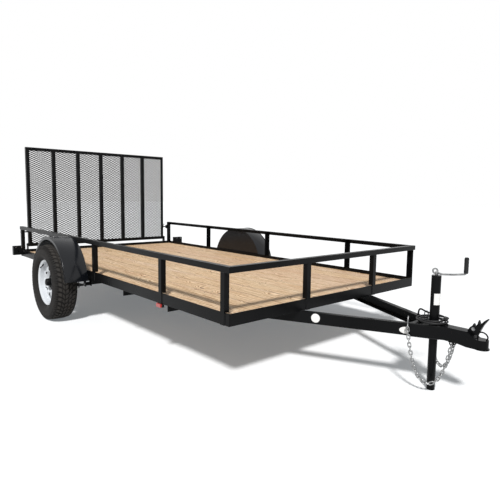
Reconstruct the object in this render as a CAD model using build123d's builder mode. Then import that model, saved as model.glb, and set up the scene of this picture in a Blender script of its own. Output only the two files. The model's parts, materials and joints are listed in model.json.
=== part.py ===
from build123d import *
import math
import os

# Single-axle utility trailer with a plank deck, side rails, a mesh ramp gate and an A-frame tongue.
# Millimetres. +X points forward to the coupler, +Y to the trailer's left, +Z up from the ground.

os.makedirs("parts", exist_ok=True)

SIDES = (("right", -1), ("left", 1))

# ---------------------------------------------------------------- bed
bed_length = 3960.0  # over the top rails, front face to rear end
bed_width = 2040.0  # over the outer faces of the top rails
frame_bottom = 410.0  # underside of the perimeter frame above the ground
frame_height = 76.0  # perimeter angle, upright leg
frame_leg = 51.0  # perimeter angle, flat leg under the planks
steel = 5.0  # wall of every angle section
rail_top = 762.0  # top of the rails above the ground
rail_size = 38.0  # both legs of the rail and post angles
front_post_places = (-333.0, 430.0)  # middle of each front post, to the left of the centre line
side_posts = {  # front face behind the bed's front, leg at the post's front (1) or rear (-1)
    "right": ((51.0, 1), (752.0, 1), (1867.0, 1), (2931.0, -1)),
    "left": ((13.0, -1), (678.0, -1), (1806.0, -1), (2931.0, -1)),
}

# The rail laps over the posts, and the posts lap over the frame, one wall each.
post_face = bed_width / 2 - steel
frame_face = post_face - steel
frame_top = frame_bottom + frame_height

# ---------------------------------------------------------------- tongue
tongue_half_angle = 25.0  # each beam from the centre line
tongue_reach = 863.0  # the apex, where the beams' outer faces would meet, ahead of the bed
beam_height = 76.0
beam_flange = 36.0
beam_web = 4.3
beam_flange_wall = 6.0
beam_gap = 2.0  # between the two mitred ends
beam_setback = 63.0  # beams' ends behind the apex

# ---------------------------------------------------------------- coupler
coupler_wall = 5.0
coupler_lap = 248.0  # rear edge of the coupler's top plate behind the apex
skirt_lead = 7.0  # where the skirt starts to rise, ahead of the apex
slope_lead = 67.0  # where the roof starts to slope, ahead of the apex
slope_run = 48.0  # length of the sloping roof
roof_setback = 3.0  # inside of the sloping roof behind its outside
socket_lead = 140.0  # ball centre ahead of the apex
socket_height = 345.0  # ball centre above the ground
socket_wall = 21.0  # solid metal behind the ball
ball_radius = 25.4
ball_clearance = 0.4
nose_radius = 36.0
nose_drop = 20.0  # underside of the nose below the ball centre
lip_width = 6.0
lip_height = 6.0
latch_width = 22.0
latch_outline = (  # ahead of the apex, above the coupler's top
    (59.0, 0.0),
    (72.0, 25.0),
    (85.0, 36.0),
    (92.0, 50.0),
    (99.0, 37.0),
    (104.0, 35.0),
    (113.0, 51.0),
    (119.0, 74.0),
    (125.0, 56.0),
    (130.0, 51.0),
    (148.0, 74.0),
    (166.0, 89.0),
    (170.0, 84.0),
    (145.0, 47.0),
    (118.0, -13.0),
    (98.0, -15.0),
)

# ---------------------------------------------------------------- jack
jack_setback = 148.0  # jack's axis behind the apex
jack_tube_radius = 28.5
jack_leg_radius = 25.0
jack_bore_clearance = 0.4
jack_tube_bottom = 352.0
jack_tube_top = 708.0
jack_cap = 8.0
jack_overlap = 80.0  # leg inside the tube when it stands on the ground
jack_plate = 6.0
jack_hole_clearance = 2.0
flange_rear = 70.0  # jack's flange plate, from the jack's axis
flange_front = 78.0
flange_rear_half = 56.0
flange_front_half = 24.0
crank_gap = 0.3
crank_wire_radius = 6.0
crank_hub_radius = 9.0
crank_hub_height = 22.0
crank_line = (  # middle of the crank's bar: from the jack's axis, above the jack's top
    (0.0, 16.0),
    (37.0, 10.0),
    (103.0, 17.0),
    (175.0, 29.0),
    (175.0, 126.0),
)
crank_bend = 12.0
eye_radius = 19.0
eye_hole = 10.0
eye_wall = 8.0
eye_setback = 10.0  # eye's middle behind the jack's axis
eye_height = 25.0  # eye's middle above the jack's top
grip_radius = 13.0
grip_length = 94.0

# ---------------------------------------------------------------- deck
deck_board_count = 11
deck_board_thickness = 38.0
deck_board_gap = 3.0
deck_end_gap = 3.0
cross_depth = 51.0
cross_places = (690.0, 1350.0, 1950.0, 2850.0, 3400.0)  # behind the bed's front

# ---------------------------------------------------------------- axle, wheels and hubs
axle_place = 2400.0  # behind the bed's front
tyre_radius = 344.5
tyre_width = 205.0
tyre_gap = 50.0  # between the rail's outer face and the tyre
tyre_sides = 36
rim_bead_radius = 190.0
rim_wall = 4.0
bead_clearance = 0.2
axle_tube_radius = 30.0
spindle_radius = 16.0
spindle_clearance = 0.1
spindle_end = 20.0  # spindle's end outboard of the tyre's middle plane
hub_inner_face = 85.0  # hub barrel's inner end inboard of the tyre's middle plane
hub_axle_gap = 8.0

# Half sections of the wheel: distance outward from the tyre's middle plane, radius.
rim_well = rim_bead_radius - 18.0
rim_flange = rim_bead_radius + 18.0
rim_section = (
    (-72.5, rim_flange),
    (-72.5, rim_flange - rim_wall),
    (-62.5, rim_bead_radius - rim_wall),
    (-34.0, rim_bead_radius - rim_wall),
    (-24.0, rim_well - rim_wall),
    (14.0, rim_well - rim_wall),
    (24.0, rim_bead_radius - rim_wall),
    (62.5, rim_bead_radius - rim_wall),
    (72.5, rim_flange - rim_wall),
    (72.5, rim_flange),
    (66.5, rim_flange),
    (60.5, rim_bead_radius),
    (22.0, rim_bead_radius),
    (12.0, rim_well),
    (-22.0, rim_well),
    (-32.0, rim_bead_radius),
    (-60.5, rim_bead_radius),
    (-66.5, rim_flange),
)
disc_section = (
    (0.0, 32.0),
    (6.0, 32.0),
    (6.0, 72.0),
    (42.0, 104.0),
    (42.0, 132.0),
    (14.0, rim_well - rim_wall + 0.5),
    (6.0, rim_well - rim_wall + 0.5),
    (35.5, 129.5),
    (35.5, 108.0),
    (0.0, 77.0),
)
window_count = 8
window_inner_radius = 98.0
window_outer_radius = 160.0
window_inner_half = 17.0
window_outer_half = 39.0
tyre_half = tyre_width / 2
tyre_section = (
    (-56.0, rim_bead_radius + bead_clearance),
    (-64.0, rim_flange + bead_clearance),
    (-tyre_half + 8.0, 228.0),
    (-tyre_half, 262.0),
    (-tyre_half + 6.0, 305.0),
    (-tyre_half + 18.0, tyre_radius - 9.5),
    (-tyre_half + 32.0, tyre_radius),
    (tyre_half - 32.0, tyre_radius),
    (tyre_half - 18.0, tyre_radius - 9.5),
    (tyre_half - 6.0, 305.0),
    (tyre_half, 262.0),
    (tyre_half - 8.0, 228.0),
    (64.0, rim_flange + bead_clearance),
    (56.0, rim_bead_radius + bead_clearance),
    (44.0, rim_bead_radius + bead_clearance),
    (tyre_half - 20.0, 262.0),
    (tyre_half - 36.0, tyre_radius - 22.5),
    (-tyre_half + 36.0, tyre_radius - 22.5),
    (-tyre_half + 20.0, 262.0),
    (-44.0, rim_bead_radius + bead_clearance),
)
hub_section = (
    (-hub_inner_face, spindle_radius + spindle_clearance),
    (-hub_inner_face, 45.0),
    (-6.0, 45.0),
    (-6.0, 70.0),
    (0.0, 70.0),
    (0.0, 31.0),
    (34.0, 31.0),
    (40.0, 24.0),
    (40.0, 0.0),
    (36.0, 0.0),
    (36.0, spindle_radius + spindle_clearance),
)

# ---------------------------------------------------------------- springs
spring_offset = 25.0  # spring's middle inboard of the frame's outer face
spring_width = 44.0
spring_leaf = 7.0
spring_leaf_count = 4
spring_half_length = 320.0
spring_leaf_step = 77.0  # each leaf is this much shorter at each end than the one above
spring_eye_height = 350.0
spring_eye_radius = 16.0
spring_pin_radius = 7.0
spring_pin_head = 8.0
hanger_half = 22.0
hanger_wall = 5.0
hanger_gap = 1.0
hanger_drop = 20.0  # hanger's lower edge below the spring's eye
clamp_wall = 8.0
clamp_bolt_radius = 5.0
clamp_bolt_gap = 0.3
clamp_bolt_end = 18.0

# ---------------------------------------------------------------- fenders
fender_radius = 425.0
fender_drop = 10.0  # fender's centre below the axle
fender_wall = 3.0
fender_width = 200.0  # from the rail's outer face
fender_end_height = 396.0
fender_lip = 22.0
fender_plate_lift = 20.0  # back plate's lower edge above the frame's underside
fender_tab_reach = 300.0
fender_tab_half = 25.0
fender_tab_lift = 25.0
fender_tab_drop = 8.0

# ---------------------------------------------------------------- lamps
bracket_place = 3800.0  # front face behind the bed's front
bracket_reach = 127.0  # outboard of the frame
bracket_bottom = 441.0
bracket_height = 104.0
bracket_depth = 51.0
bracket_holes = (23.0, 77.0)  # from the frame's outer face
bracket_hole_height = 41.0
bracket_hole_radius = 9.0
lamp_side_gap = 6.0
lamp_stand_out = 6.0
marker_place = 752.0  # front end behind the bed's front
marker_length = 60.0
marker_height = 26.0
marker_depth = 31.0
marker_stand_out = 13.0  # marker lamp's face outboard of the frame

# ---------------------------------------------------------------- gate
gate_inset = 98.0  # gate's side edge inboard of the rail's outer face
gate_tube = 38.0
gate_bottom = 514.0
gate_top = 1694.0
gate_bays = 6
gate_gap = 6.0  # behind the rails' ends
gate_wall = 4.0
mesh_wall = 3.0
mesh_strand = 9.0
mesh_columns = 12
mesh_rows = 18
hinge_pin_radius = 8.0
hinge_pin_clearance = 0.1
hinge_pin_end = 6.0
hinge_side_gap = 8.0
hinge_lug_wall = 8.0
hinge_lug_half = 20.0
hinge_lug_lift = 20.0
latch_z = 690.0
latch_pin_radius = 8.0
latch_pin_length = 84.0
latch_tip_gap = 1.0
latch_plate_half = 14.0
latch_plate_height = 50.0
latch_plate_wall = 8.0
latch_plate_gap = 2.0  # inboard of the post's inner edge

# ---------------------------------------------------------------- safety chains
link_length = 38.0
link_width = 24.0
link_wire = 6.5
link_pitch = 24.2
hook_setback = 254.0  # hooks behind the apex
hook_wire = 7.0
hook_line = (  # middle of the hook's wire: outboard of the beam's outer face, above the beam
    (28.5, -6.0),
    (28.5, -19.0),
    (25.5, -22.0),
    (14.5, -22.0),
    (11.5, -19.0),
    (5.5, -6.0),
    (5.5, 32.0),
    (-1.0, 41.0),
    (-15.0, 41.0),
    (-22.0, 33.0),
    (-22.0, 0.3),
)
hook_seat = (20.0, -15.0)  # middle of the first link's end bar, measured as the hook
chain_sag = (47.2, 55.6)  # right and left: radius of the hanging curve at its lowest point
anchor_setback = 25.0  # anchor's eyes behind the apex
anchor_half = 12.0
anchor_wall = 4.0
anchor_eye_offset = 16.0  # from the centre line
anchor_eye_radius = 15.0
anchor_eye_hole = 8.8
anchor_eye_drop = 14.0  # eye's middle below the coupler's skirt
link_rest = 2.7  # last link's end bar below the eye's middle

# ---------------------------------------------------------------- wiring harness
cord_radius = 5.5
coil_setback = 160.0  # coil's middle behind the apex
coil_inner = 68.0
coil_outer = 98.0
coil_height = 22.0
coil_chamfer = 5.0
coil_gap = 0.3
grommet_radius = 9.0
grommet_height = 6.0
lead_exit = (323.0, 130.0)  # behind the apex, to the left of the centre line
lead_route = (  # ahead of the exit, to its left, above the beam; the last three lie on the coil
    (0.0, 0.0, 19.0),
    (8.0, -6.0, 37.0),
    (22.0, -16.0, 46.0),
    (41.0, -27.0, 47.0),
    (66.0, -38.0, 42.0),
)
lead_on_coil = (
    (96.0, -45.0),
    (127.0, -48.5),
    (157.0, -49.0),
)
plug_size = (22.0, 40.0, 21.0)
plug_place = (84.0, -6.0)  # plug's middle from the coil's middle

# ---------------------------------------------------------------- places worked out from the above
gate_width = bed_width - 2 * gate_inset
rear_reach = gate_gap + gate_tube + mesh_wall
nose_reach = tongue_reach + socket_lead + nose_radius + lip_width
bed_front = (bed_length + rear_reach - nose_reach) / 2
bed_rear = bed_front - bed_length
axle_x = bed_front - axle_place
apex_x = bed_front + tongue_reach
jack_x = apex_x - jack_setback
socket_x = apex_x + socket_lead
track = bed_width + 2 * tyre_gap + tyre_width
slope = math.tan(math.radians(tongue_half_angle))
across = 1 / math.cos(math.radians(tongue_half_angle))
beam_bottom = frame_bottom - beam_height
deck_bottom = frame_bottom + steel
deck_top = deck_bottom + deck_board_thickness
front_frame_face = bed_front - 2 * steel
rear_frame_face = bed_rear + 2 * steel
gate_x = bed_rear - gate_gap - gate_tube / 2
gate_hinge_z = gate_bottom + gate_tube / 2
rail_face = bed_width / 2
rail_under = rail_top - steel


def save(part, name):
    part.label = name
    export_step(part, f"parts/{name}.step")


def block(x0, x1, y0, y1, z0, z1):
    """A box between two corners, added to the part being built."""
    with Locations(((x0 + x1) / 2, (y0 + y1) / 2, (z0 + z1) / 2)):
        Box(abs(x1 - x0), abs(y1 - y0), abs(z1 - z0))


# ================================================================ bed frame
frame_inner = frame_face - steel
leg_inner = frame_face - frame_leg

for side, s in SIDES:
    with BuildPart() as side_frame:
        block(rear_frame_face, front_frame_face, s * frame_inner, s * frame_face, frame_bottom, frame_top)
        block(rear_frame_face, front_frame_face, s * leg_inner, s * frame_inner, frame_bottom, deck_bottom)
    save(side_frame.part, f"side_frame_{side}")

for end, face, inward in (("front", front_frame_face, -1), ("rear", rear_frame_face, 1)):
    with BuildPart() as end_frame:
        wall = face + inward * steel
        block(face, wall, -frame_inner, frame_inner, deck_bottom, frame_top)
        block(face, face + inward * frame_leg, -leg_inner, leg_inner, frame_bottom, deck_bottom)
    save(end_frame.part, f"{end}_frame")

cross_reach = frame_face - 2 * steel
with BuildPart() as crossmembers:
    for place in cross_places:
        x = bed_front - place
        block(x - steel, x, -cross_reach, cross_reach, frame_bottom - cross_depth + steel, frame_bottom)
        block(x - cross_depth, x, -leg_inner, leg_inner, frame_bottom, deck_bottom)
save(crossmembers.part, "crossmembers")

board_pitch = 2 * frame_inner / deck_board_count
board_half = (board_pitch - deck_board_gap) / 2
deck_front = front_frame_face - steel - deck_end_gap
deck_rear = rear_frame_face + steel + deck_end_gap
with BuildPart() as deck_boards:
    for i in range(deck_board_count):
        y = -frame_inner + (i + 0.5) * board_pitch
        block(deck_rear, deck_front, y - board_half, y + board_half, deck_bottom, deck_top)
save(deck_boards.part, "deck_boards")

# ================================================================ rails and posts
for side, s in SIDES:
    with BuildPart() as rail:
        block(bed_rear, bed_front, s * (rail_face - rail_size), s * rail_face, rail_under, rail_top)
        block(bed_rear, bed_front, s * post_face, s * rail_face, rail_top - rail_size, rail_under)
    save(rail.part, f"rail_{side}")

with BuildPart() as rail_front:
    reach = rail_face - rail_size
    block(bed_front - rail_size, bed_front, -reach, reach, rail_under, rail_top)
    block(bed_front - steel, bed_front, -post_face, post_face, rail_top - rail_size, rail_under)
save(rail_front.part, "rail_front")

for side, s in SIDES:
    with BuildPart() as posts:
        for place, leg_end in side_posts[side]:
            x1 = bed_front - place
            x0 = x1 - rail_size
            leg_x = x1 - steel if leg_end > 0 else x0
            block(x0, x1, s * frame_face, s * post_face, frame_bottom, rail_under)
            block(leg_x, leg_x + steel, s * (post_face - rail_size), s * frame_face, frame_top, rail_under)
        x0 = bed_rear + steel
        block(x0, x0 + rail_size, s * frame_face, s * post_face, frame_bottom, rail_under)
        block(x0, x0 + steel, s * (post_face - rail_size), s * frame_face, frame_bottom, rail_under)
        leg_x = x0 + rail_size - steel
        block(leg_x, leg_x + steel, s * (post_face - rail_size), s * frame_face, frame_top, rail_under)
    save(posts.part, f"posts_{side}")

with BuildPart() as posts_front:
    for middle in front_post_places:
        y0 = middle - rail_size / 2
        block(front_frame_face, bed_front - steel, y0, y0 + rail_size, frame_bottom, rail_under)
        block(bed_front - steel - rail_size, front_frame_face, y0, y0 + steel, frame_top, rail_under)
save(posts_front.part, "posts_front")

# ================================================================ tongue


def beam_line(x, depth=0.0):
    """Distance from the centre line to a line parallel to a beam's outer face, depth inside it."""
    return (apex_x - x) * slope - depth * across


def beam_strip(s, x0, x1, depth):
    """Plan of a strip of the beam, from its outer face to a depth behind it."""
    Polygon(
        (x0, s * beam_line(x0)),
        (x1, s * beam_line(x1)),
        (x1, s * beam_line(x1, depth)),
        (x0, s * beam_line(x0, depth)),
        align=None,
    )


beam_rear_x = bed_front - cross_places[0]
beam_front_x = apex_x - beam_setback
for side, s in SIDES:
    with BuildPart() as beam:
        for bottom, height, depth in (
            (beam_bottom, beam_height, beam_web),
            (beam_bottom, beam_flange_wall, beam_flange),
            (frame_bottom - beam_flange_wall, beam_flange_wall, beam_flange),
        ):
            with BuildSketch(Plane.XY.offset(bottom)):
                beam_strip(s, beam_rear_x, beam_front_x, depth)
            extrude(amount=height)
        # The two beams stop either side of the centre line, and the jack passes between them.
        split(bisect_by=Plane.XZ.offset(-s * beam_gap / 2), keep=Keep.BOTTOM if s > 0 else Keep.TOP)
        with Locations((jack_x, 0, beam_bottom + beam_height / 2)):
            Cylinder(jack_tube_radius + jack_hole_clearance, 2 * beam_height, mode=Mode.SUBTRACT)
    save(beam.part, f"tongue_beam_{side}")

# ================================================================ coupler
coupler_top = frame_bottom + coupler_wall
coupler_rear_x = apex_x - coupler_lap
nose_start_x = apex_x - (nose_radius - coupler_wall * across) / slope
nose_top = socket_height + nose_radius
nose_bottom = socket_height - nose_drop
nose_end_x = socket_x + nose_radius
slope_start_x = apex_x + slope_lead
slope_end_x = slope_start_x + slope_run
skirt_end_x = apex_x + skirt_lead
hollow_front_x = socket_x - ball_radius - ball_clearance - socket_wall
coupler_half = 2 * beam_line(coupler_rear_x)


def coupler_plan(wall):
    """Plan of the coupler, drawn in by a wall on its sides."""
    rear = beam_line(coupler_rear_x, wall - coupler_wall)
    straight = nose_radius - wall
    Polygon(
        (coupler_rear_x, -rear),
        (nose_start_x, -straight),
        (socket_x, -straight),
        (socket_x, straight),
        (nose_start_x, straight),
        (coupler_rear_x, rear),
        align=None,
    )
    with Locations((socket_x, 0)):
        Circle(straight)


with BuildPart() as coupler_hollow:
    with BuildSketch(Plane.XY.offset(nose_bottom)):
        coupler_plan(coupler_wall)
    extrude(amount=coupler_top - nose_bottom)
    with BuildSketch(Plane.XZ):
        Polygon(
            (coupler_rear_x, nose_bottom),
            (coupler_rear_x, coupler_top - coupler_wall),
            (slope_start_x - roof_setback, coupler_top - coupler_wall),
            (hollow_front_x, nose_top),
            (hollow_front_x, nose_bottom),
            align=None,
        )
    extrude(amount=coupler_half, both=True, mode=Mode.INTERSECT)

with BuildPart() as coupler_body:
    with BuildSketch(Plane.XY.offset(nose_bottom)):
        coupler_plan(0)
    extrude(amount=coupler_top - nose_bottom)
    with BuildSketch(Plane.XZ):
        Polygon(
            (coupler_rear_x, beam_bottom),
            (coupler_rear_x, coupler_top),
            (slope_start_x, coupler_top),
            (slope_end_x, nose_top),
            (nose_end_x, nose_top),
            (nose_end_x, nose_bottom),
            (slope_start_x, nose_bottom),
            (skirt_end_x, beam_bottom),
            align=None,
        )
    extrude(amount=coupler_half, both=True, mode=Mode.INTERSECT)
    with Locations((socket_x, 0, nose_bottom + lip_height / 2)):
        Cylinder(nose_radius + lip_width, lip_height)
    add(coupler_hollow.part, mode=Mode.SUBTRACT)
    with Locations((socket_x, 0, socket_height)):
        Sphere(ball_radius + ball_clearance, mode=Mode.SUBTRACT)
    with Locations((socket_x, 0, socket_height - nose_drop)):
        Cylinder(ball_radius + ball_clearance, 2 * nose_drop, mode=Mode.SUBTRACT)
    with Locations((jack_x, 0, coupler_top)):
        Cylinder(jack_tube_radius + jack_hole_clearance, beam_height, mode=Mode.SUBTRACT)
save(coupler_body.part, "coupler_body")

# The latch stands on the top plate's front edge and on the slope ahead of it.
with BuildPart() as coupler_latch:
    with BuildSketch(Plane.XZ.offset(-latch_width / 2)):
        Polygon(
            *[(apex_x + x, coupler_top + z) for x, z in latch_outline],
            ((slope_start_x + slope_end_x) / 2, (coupler_top + nose_top) / 2),
            (slope_start_x, coupler_top),
            align=None,
        )
    extrude(amount=latch_width)
save(coupler_latch.part, "coupler_latch")

# ================================================================ jack
plate_top = coupler_top + jack_plate

with BuildPart() as jack_flange:
    with BuildSketch(Plane.XY.offset(coupler_top)):
        Polygon(
            (jack_x - flange_rear, -flange_rear_half),
            (jack_x + flange_front, -flange_front_half),
            (jack_x + flange_front, flange_front_half),
            (jack_x - flange_rear, flange_rear_half),
            align=None,
        )
        with Locations((jack_x, 0)):
            Circle(jack_tube_radius, mode=Mode.SUBTRACT)
    extrude(amount=jack_plate)
save(jack_flange.part, "jack_flange")

with BuildPart() as jack_tube:
    with BuildSketch(Plane.XY.offset(jack_tube_bottom)):
        with Locations((jack_x, 0)):
            Circle(jack_tube_radius)
    extrude(amount=jack_tube_top - jack_tube_bottom)
    with BuildSketch(Plane.XY.offset(jack_tube_bottom)):
        with Locations((jack_x, 0)):
            Circle(jack_leg_radius + jack_bore_clearance)
    extrude(amount=jack_tube_top - jack_cap - jack_tube_bottom, mode=Mode.SUBTRACT)
save(jack_tube.part, "jack_tube")

with BuildPart() as jack_leg:
    with BuildSketch(Plane.XY):
        with Locations((jack_x, 0)):
            Circle(jack_leg_radius)
    extrude(amount=jack_tube_bottom + jack_overlap)
save(jack_leg.part, "jack_leg")

with BuildPart() as crank_arm:
    with BuildSketch(Plane.XY.offset(jack_tube_top + crank_gap)):
        with Locations((jack_x, 0)):
            Circle(crank_hub_radius)
    extrude(amount=crank_hub_height)
    with BuildSketch(Plane.XZ):
        with Locations((jack_x - eye_setback, jack_tube_top + eye_height)):
            Circle(eye_radius)
            Circle(eye_hole, mode=Mode.SUBTRACT)
    extrude(amount=eye_wall / 2, both=True)
    with BuildLine() as bar_line:
        FilletPolyline(*[(jack_x + x, 0, jack_tube_top + z) for x, z in crank_line], radius=crank_bend)
    with BuildSketch(Plane(origin=bar_line.line @ 0, z_dir=bar_line.line % 0)):
        Circle(crank_wire_radius)
    sweep(path=bar_line.line)
save(crank_arm.part, "crank_arm")

grip_x = jack_x + crank_line[-1][0]
grip_top = jack_tube_top + crank_line[-1][1]
with BuildPart() as crank_grip:
    with BuildSketch(Plane.XY.offset(grip_top - grip_length)):
        with Locations((grip_x, 0)):
            Circle(grip_radius)
            Circle(crank_wire_radius, mode=Mode.SUBTRACT)
    extrude(amount=grip_length)
save(crank_grip.part, "crank_grip")

# ================================================================ axle and wheels
tube_reach = track / 2 - hub_inner_face - hub_axle_gap
spindle_reach = track / 2 + spindle_end
with BuildPart() as axle:
    with BuildSketch(Plane.XZ):
        with Locations((axle_x, tyre_radius)):
            Circle(axle_tube_radius)
    extrude(amount=tube_reach, both=True)
    with BuildSketch(Plane.XZ):
        with Locations((axle_x, tyre_radius)):
            Circle(spindle_radius)
    extrude(amount=spindle_reach, both=True)
save(axle.part, "axle")

# One flat-sided slice of the tyre about the Z axis. Its flats are at the section's radii.
half_slice = 180 / tyre_sides
with BuildPart() as tyre_slice:
    for turn in (-half_slice, half_slice):
        radial = Vector(math.cos(math.radians(turn)), math.sin(math.radians(turn)), 0)
        widen = 1 / math.cos(math.radians(half_slice))
        with BuildSketch(Plane(origin=(0, 0, 0), x_dir=(0, 0, 1), z_dir=Vector(0, 0, 1).cross(radial))):
            Polygon(*[(y, radius * widen) for y, radius in tyre_section], align=None)
    loft(ruled=True)

for side, s in SIDES:
    centre = (axle_x, s * track / 2, tyre_radius)
    section_plane = Plane(origin=centre, x_dir=(0, s, 0), z_dir=(s, 0, 0))
    face_plane = Plane(origin=centre, x_dir=(1, 0, 0), z_dir=(0, s, 0))
    wheel_axis = Axis(centre, (0, s, 0))
    with BuildPart() as rim:
        for outline in (rim_section, disc_section):
            with BuildSketch(section_plane):
                Polygon(*outline, align=None)
            revolve(axis=wheel_axis)
        with BuildSketch(face_plane):
            with PolarLocations(0, window_count):
                Polygon(
                    (window_inner_radius, -window_inner_half),
                    (window_outer_radius, -window_outer_half),
                    (window_outer_radius, window_outer_half),
                    (window_inner_radius, window_inner_half),
                    align=None,
                )
        extrude(amount=rim_bead_radius, mode=Mode.SUBTRACT)
    save(rim.part, f"rim_{side}")
    with BuildPart() as tyre:
        with Locations(Location(face_plane)):
            with PolarLocations(0, tyre_sides):
                add(tyre_slice.part)
    save(tyre.part, f"tyre_{side}")
    with BuildPart() as hub:
        with BuildSketch(section_plane):
            Polygon(*hub_section, align=None)
        revolve(axis=wheel_axis)
    save(hub.part, f"hub_{side}")

# ================================================================ springs
spring_y = frame_face - spring_offset
spring_seat_z = tyre_radius - axle_tube_radius
spring_sag = spring_eye_height - (spring_seat_z - spring_leaf / 2)
pack_bottom = spring_seat_z - spring_leaf * spring_leaf_count
hanger_reach = spring_width / 2 + hanger_gap
pin_reach = hanger_reach + hanger_wall + spring_pin_head
for side, s in SIDES:
    spring_plane = Plane.XZ.offset(-s * spring_y)
    eyes = [(axle_x + end * spring_half_length, spring_eye_height) for end in (-1, 1)]
    with BuildPart() as spring:
        for i in range(spring_leaf_count):
            half = spring_half_length - spring_leaf_step * i
            top = spring_seat_z - spring_leaf * i
            rise = spring_sag * (half / spring_half_length) ** 2
            with BuildSketch(spring_plane):
                with BuildLine():
                    upper = ThreePointArc((axle_x - half, top + rise), (axle_x, top), (axle_x + half, top + rise))
                    lower = ThreePointArc(
                        (axle_x - half, top + rise - spring_leaf),
                        (axle_x, top - spring_leaf),
                        (axle_x + half, top + rise - spring_leaf),
                    )
                    Line(upper @ 0, lower @ 0)
                    Line(upper @ 1, lower @ 1)
                make_face()
            extrude(amount=spring_width / 2, both=True)
        with BuildSketch(spring_plane):
            with Locations(*eyes):
                Circle(spring_eye_radius)
        extrude(amount=spring_width / 2, both=True)
        with BuildSketch(spring_plane):
            with Locations(*eyes):
                Circle(spring_pin_radius)
        extrude(amount=spring_width / 2, both=True, mode=Mode.SUBTRACT)
    save(spring.part, f"spring_{side}")

    # Each hanger is two cheeks under the frame, a bridge over the spring's eye and a pin through it.
    with BuildPart() as hangers:
        for x, eye_z in eyes:
            x0 = x - hanger_half
            x1 = x + hanger_half
            for edge in (-1, 1):
                inner = s * spring_y + edge * hanger_reach
                block(x0, x1, inner, inner + edge * hanger_wall, eye_z - hanger_drop, frame_bottom)
            y0 = s * spring_y - hanger_reach
            y1 = s * spring_y + hanger_reach
            block(x0, x1, y0, y1, frame_bottom - hanger_wall, frame_bottom)
        with BuildSketch(spring_plane):
            with Locations(*eyes):
                Circle(spring_pin_radius)
        extrude(amount=pin_reach, both=True)
    save(hangers.part, f"spring_hangers_{side}")

    # The clamp: a plate under the leaves and two bolts bent over the axle.
    plate_bottom = pack_bottom - clamp_wall
    plate_half = axle_tube_radius + 3 * clamp_bolt_radius
    plate_reach = spring_width / 2 + 3 * clamp_bolt_radius
    bend = axle_tube_radius + clamp_bolt_radius + clamp_bolt_gap
    with BuildPart() as clamp:
        y0 = s * spring_y - plate_reach
        y1 = s * spring_y + plate_reach
        block(axle_x - plate_half, axle_x + plate_half, y0, y1, plate_bottom, pack_bottom)
        for edge in (-1, 1):
            y = s * spring_y + edge * (spring_width / 2 + 1.5 * clamp_bolt_radius)
            ends = [(axle_x + way * bend, y, plate_bottom - clamp_bolt_end) for way in (-1, 1)]
            shoulders = [(axle_x + way * bend, y, tyre_radius) for way in (-1, 1)]
            with BuildLine() as bolt_line:
                Line(ends[0], shoulders[0])
                ThreePointArc(shoulders[0], (axle_x, y, tyre_radius + bend), shoulders[1])
                Line(shoulders[1], ends[1])
            with BuildSketch(Plane(origin=ends[0], z_dir=(0, 0, 1))):
                Circle(clamp_bolt_radius)
            sweep(path=bolt_line.line)
    save(clamp.part, f"spring_clamp_{side}")

# ================================================================ fenders
fender_z = tyre_radius - fender_drop
fender_face = rail_face + fender_width
for side, s in SIDES:
    with BuildPart() as fender:
        for y_in, y_out, inner_radius, bottom in (
            (rail_face, fender_face, fender_radius - fender_wall, fender_end_height),
            (fender_face - fender_wall, fender_face, fender_radius - fender_lip, fender_end_height),
            (rail_face, rail_face + fender_wall, 0.0, frame_bottom + fender_plate_lift),
        ):
            with BuildSketch(Plane(origin=(axle_x, s * y_in, fender_z), x_dir=(s, 0, 0), z_dir=(0, s, 0))):
                Circle(fender_radius)
                if inner_radius:
                    Circle(inner_radius, mode=Mode.SUBTRACT)
                with Locations((0, fender_radius - (bottom - fender_z))):
                    Rectangle(2 * fender_radius, 2 * fender_radius, mode=Mode.SUBTRACT)
            extrude(amount=y_out - y_in)
        for x in (axle_x - fender_tab_reach, axle_x + fender_tab_reach):
            block(
                x - fender_tab_half,
                x + fender_tab_half,
                s * frame_face,
                s * rail_face,
                frame_bottom + fender_tab_lift,
                frame_top - fender_tab_drop,
            )
    save(fender.part, f"fender_{side}")

# ================================================================ lamps
bracket_x = bed_front - bracket_place
bracket_top = bracket_bottom + bracket_height
bracket_out = frame_face + bracket_reach
lamp_x = bracket_x - steel
for side, s in SIDES:
    x0 = bracket_x - bracket_depth
    y0 = s * frame_face
    y1 = s * bracket_out
    y_wall = s * (bracket_out - steel)
    with BuildPart() as bracket:
        block(lamp_x, bracket_x, y0, y1, bracket_bottom, bracket_top)
        block(x0, lamp_x, y0, y1, bracket_top - steel, bracket_top)
        block(x0, lamp_x, y0, y1, bracket_bottom, bracket_bottom + steel)
        block(x0, lamp_x, y_wall, y1, bracket_bottom + steel, bracket_top - steel)
        with BuildSketch(Plane.YZ.offset(lamp_x)):
            with Locations(*[(s * (frame_face + y), bracket_bottom + bracket_hole_height) for y in bracket_holes]):
                Circle(bracket_hole_radius)
        extrude(amount=steel, mode=Mode.SUBTRACT)
    save(bracket.part, f"light_bracket_{side}")
    with BuildPart() as tail_light:
        block(
            x0 - lamp_stand_out,
            x0 + lamp_stand_out,
            s * (frame_face + lamp_side_gap),
            y_wall,
            bracket_bottom + steel,
            bracket_top - steel,
        )
    save(tail_light.part, f"tail_light_{side}")
    # Side marker lamp under the frame's edge, by the first post.
    with BuildPart() as marker:
        x1 = bed_front - marker_place
        y1 = s * (frame_face + marker_stand_out)
        block(x1 - marker_length, x1, y1 - s * marker_depth, y1, frame_bottom - marker_height, frame_bottom)
    save(marker.part, f"marker_light_{side}")

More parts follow.
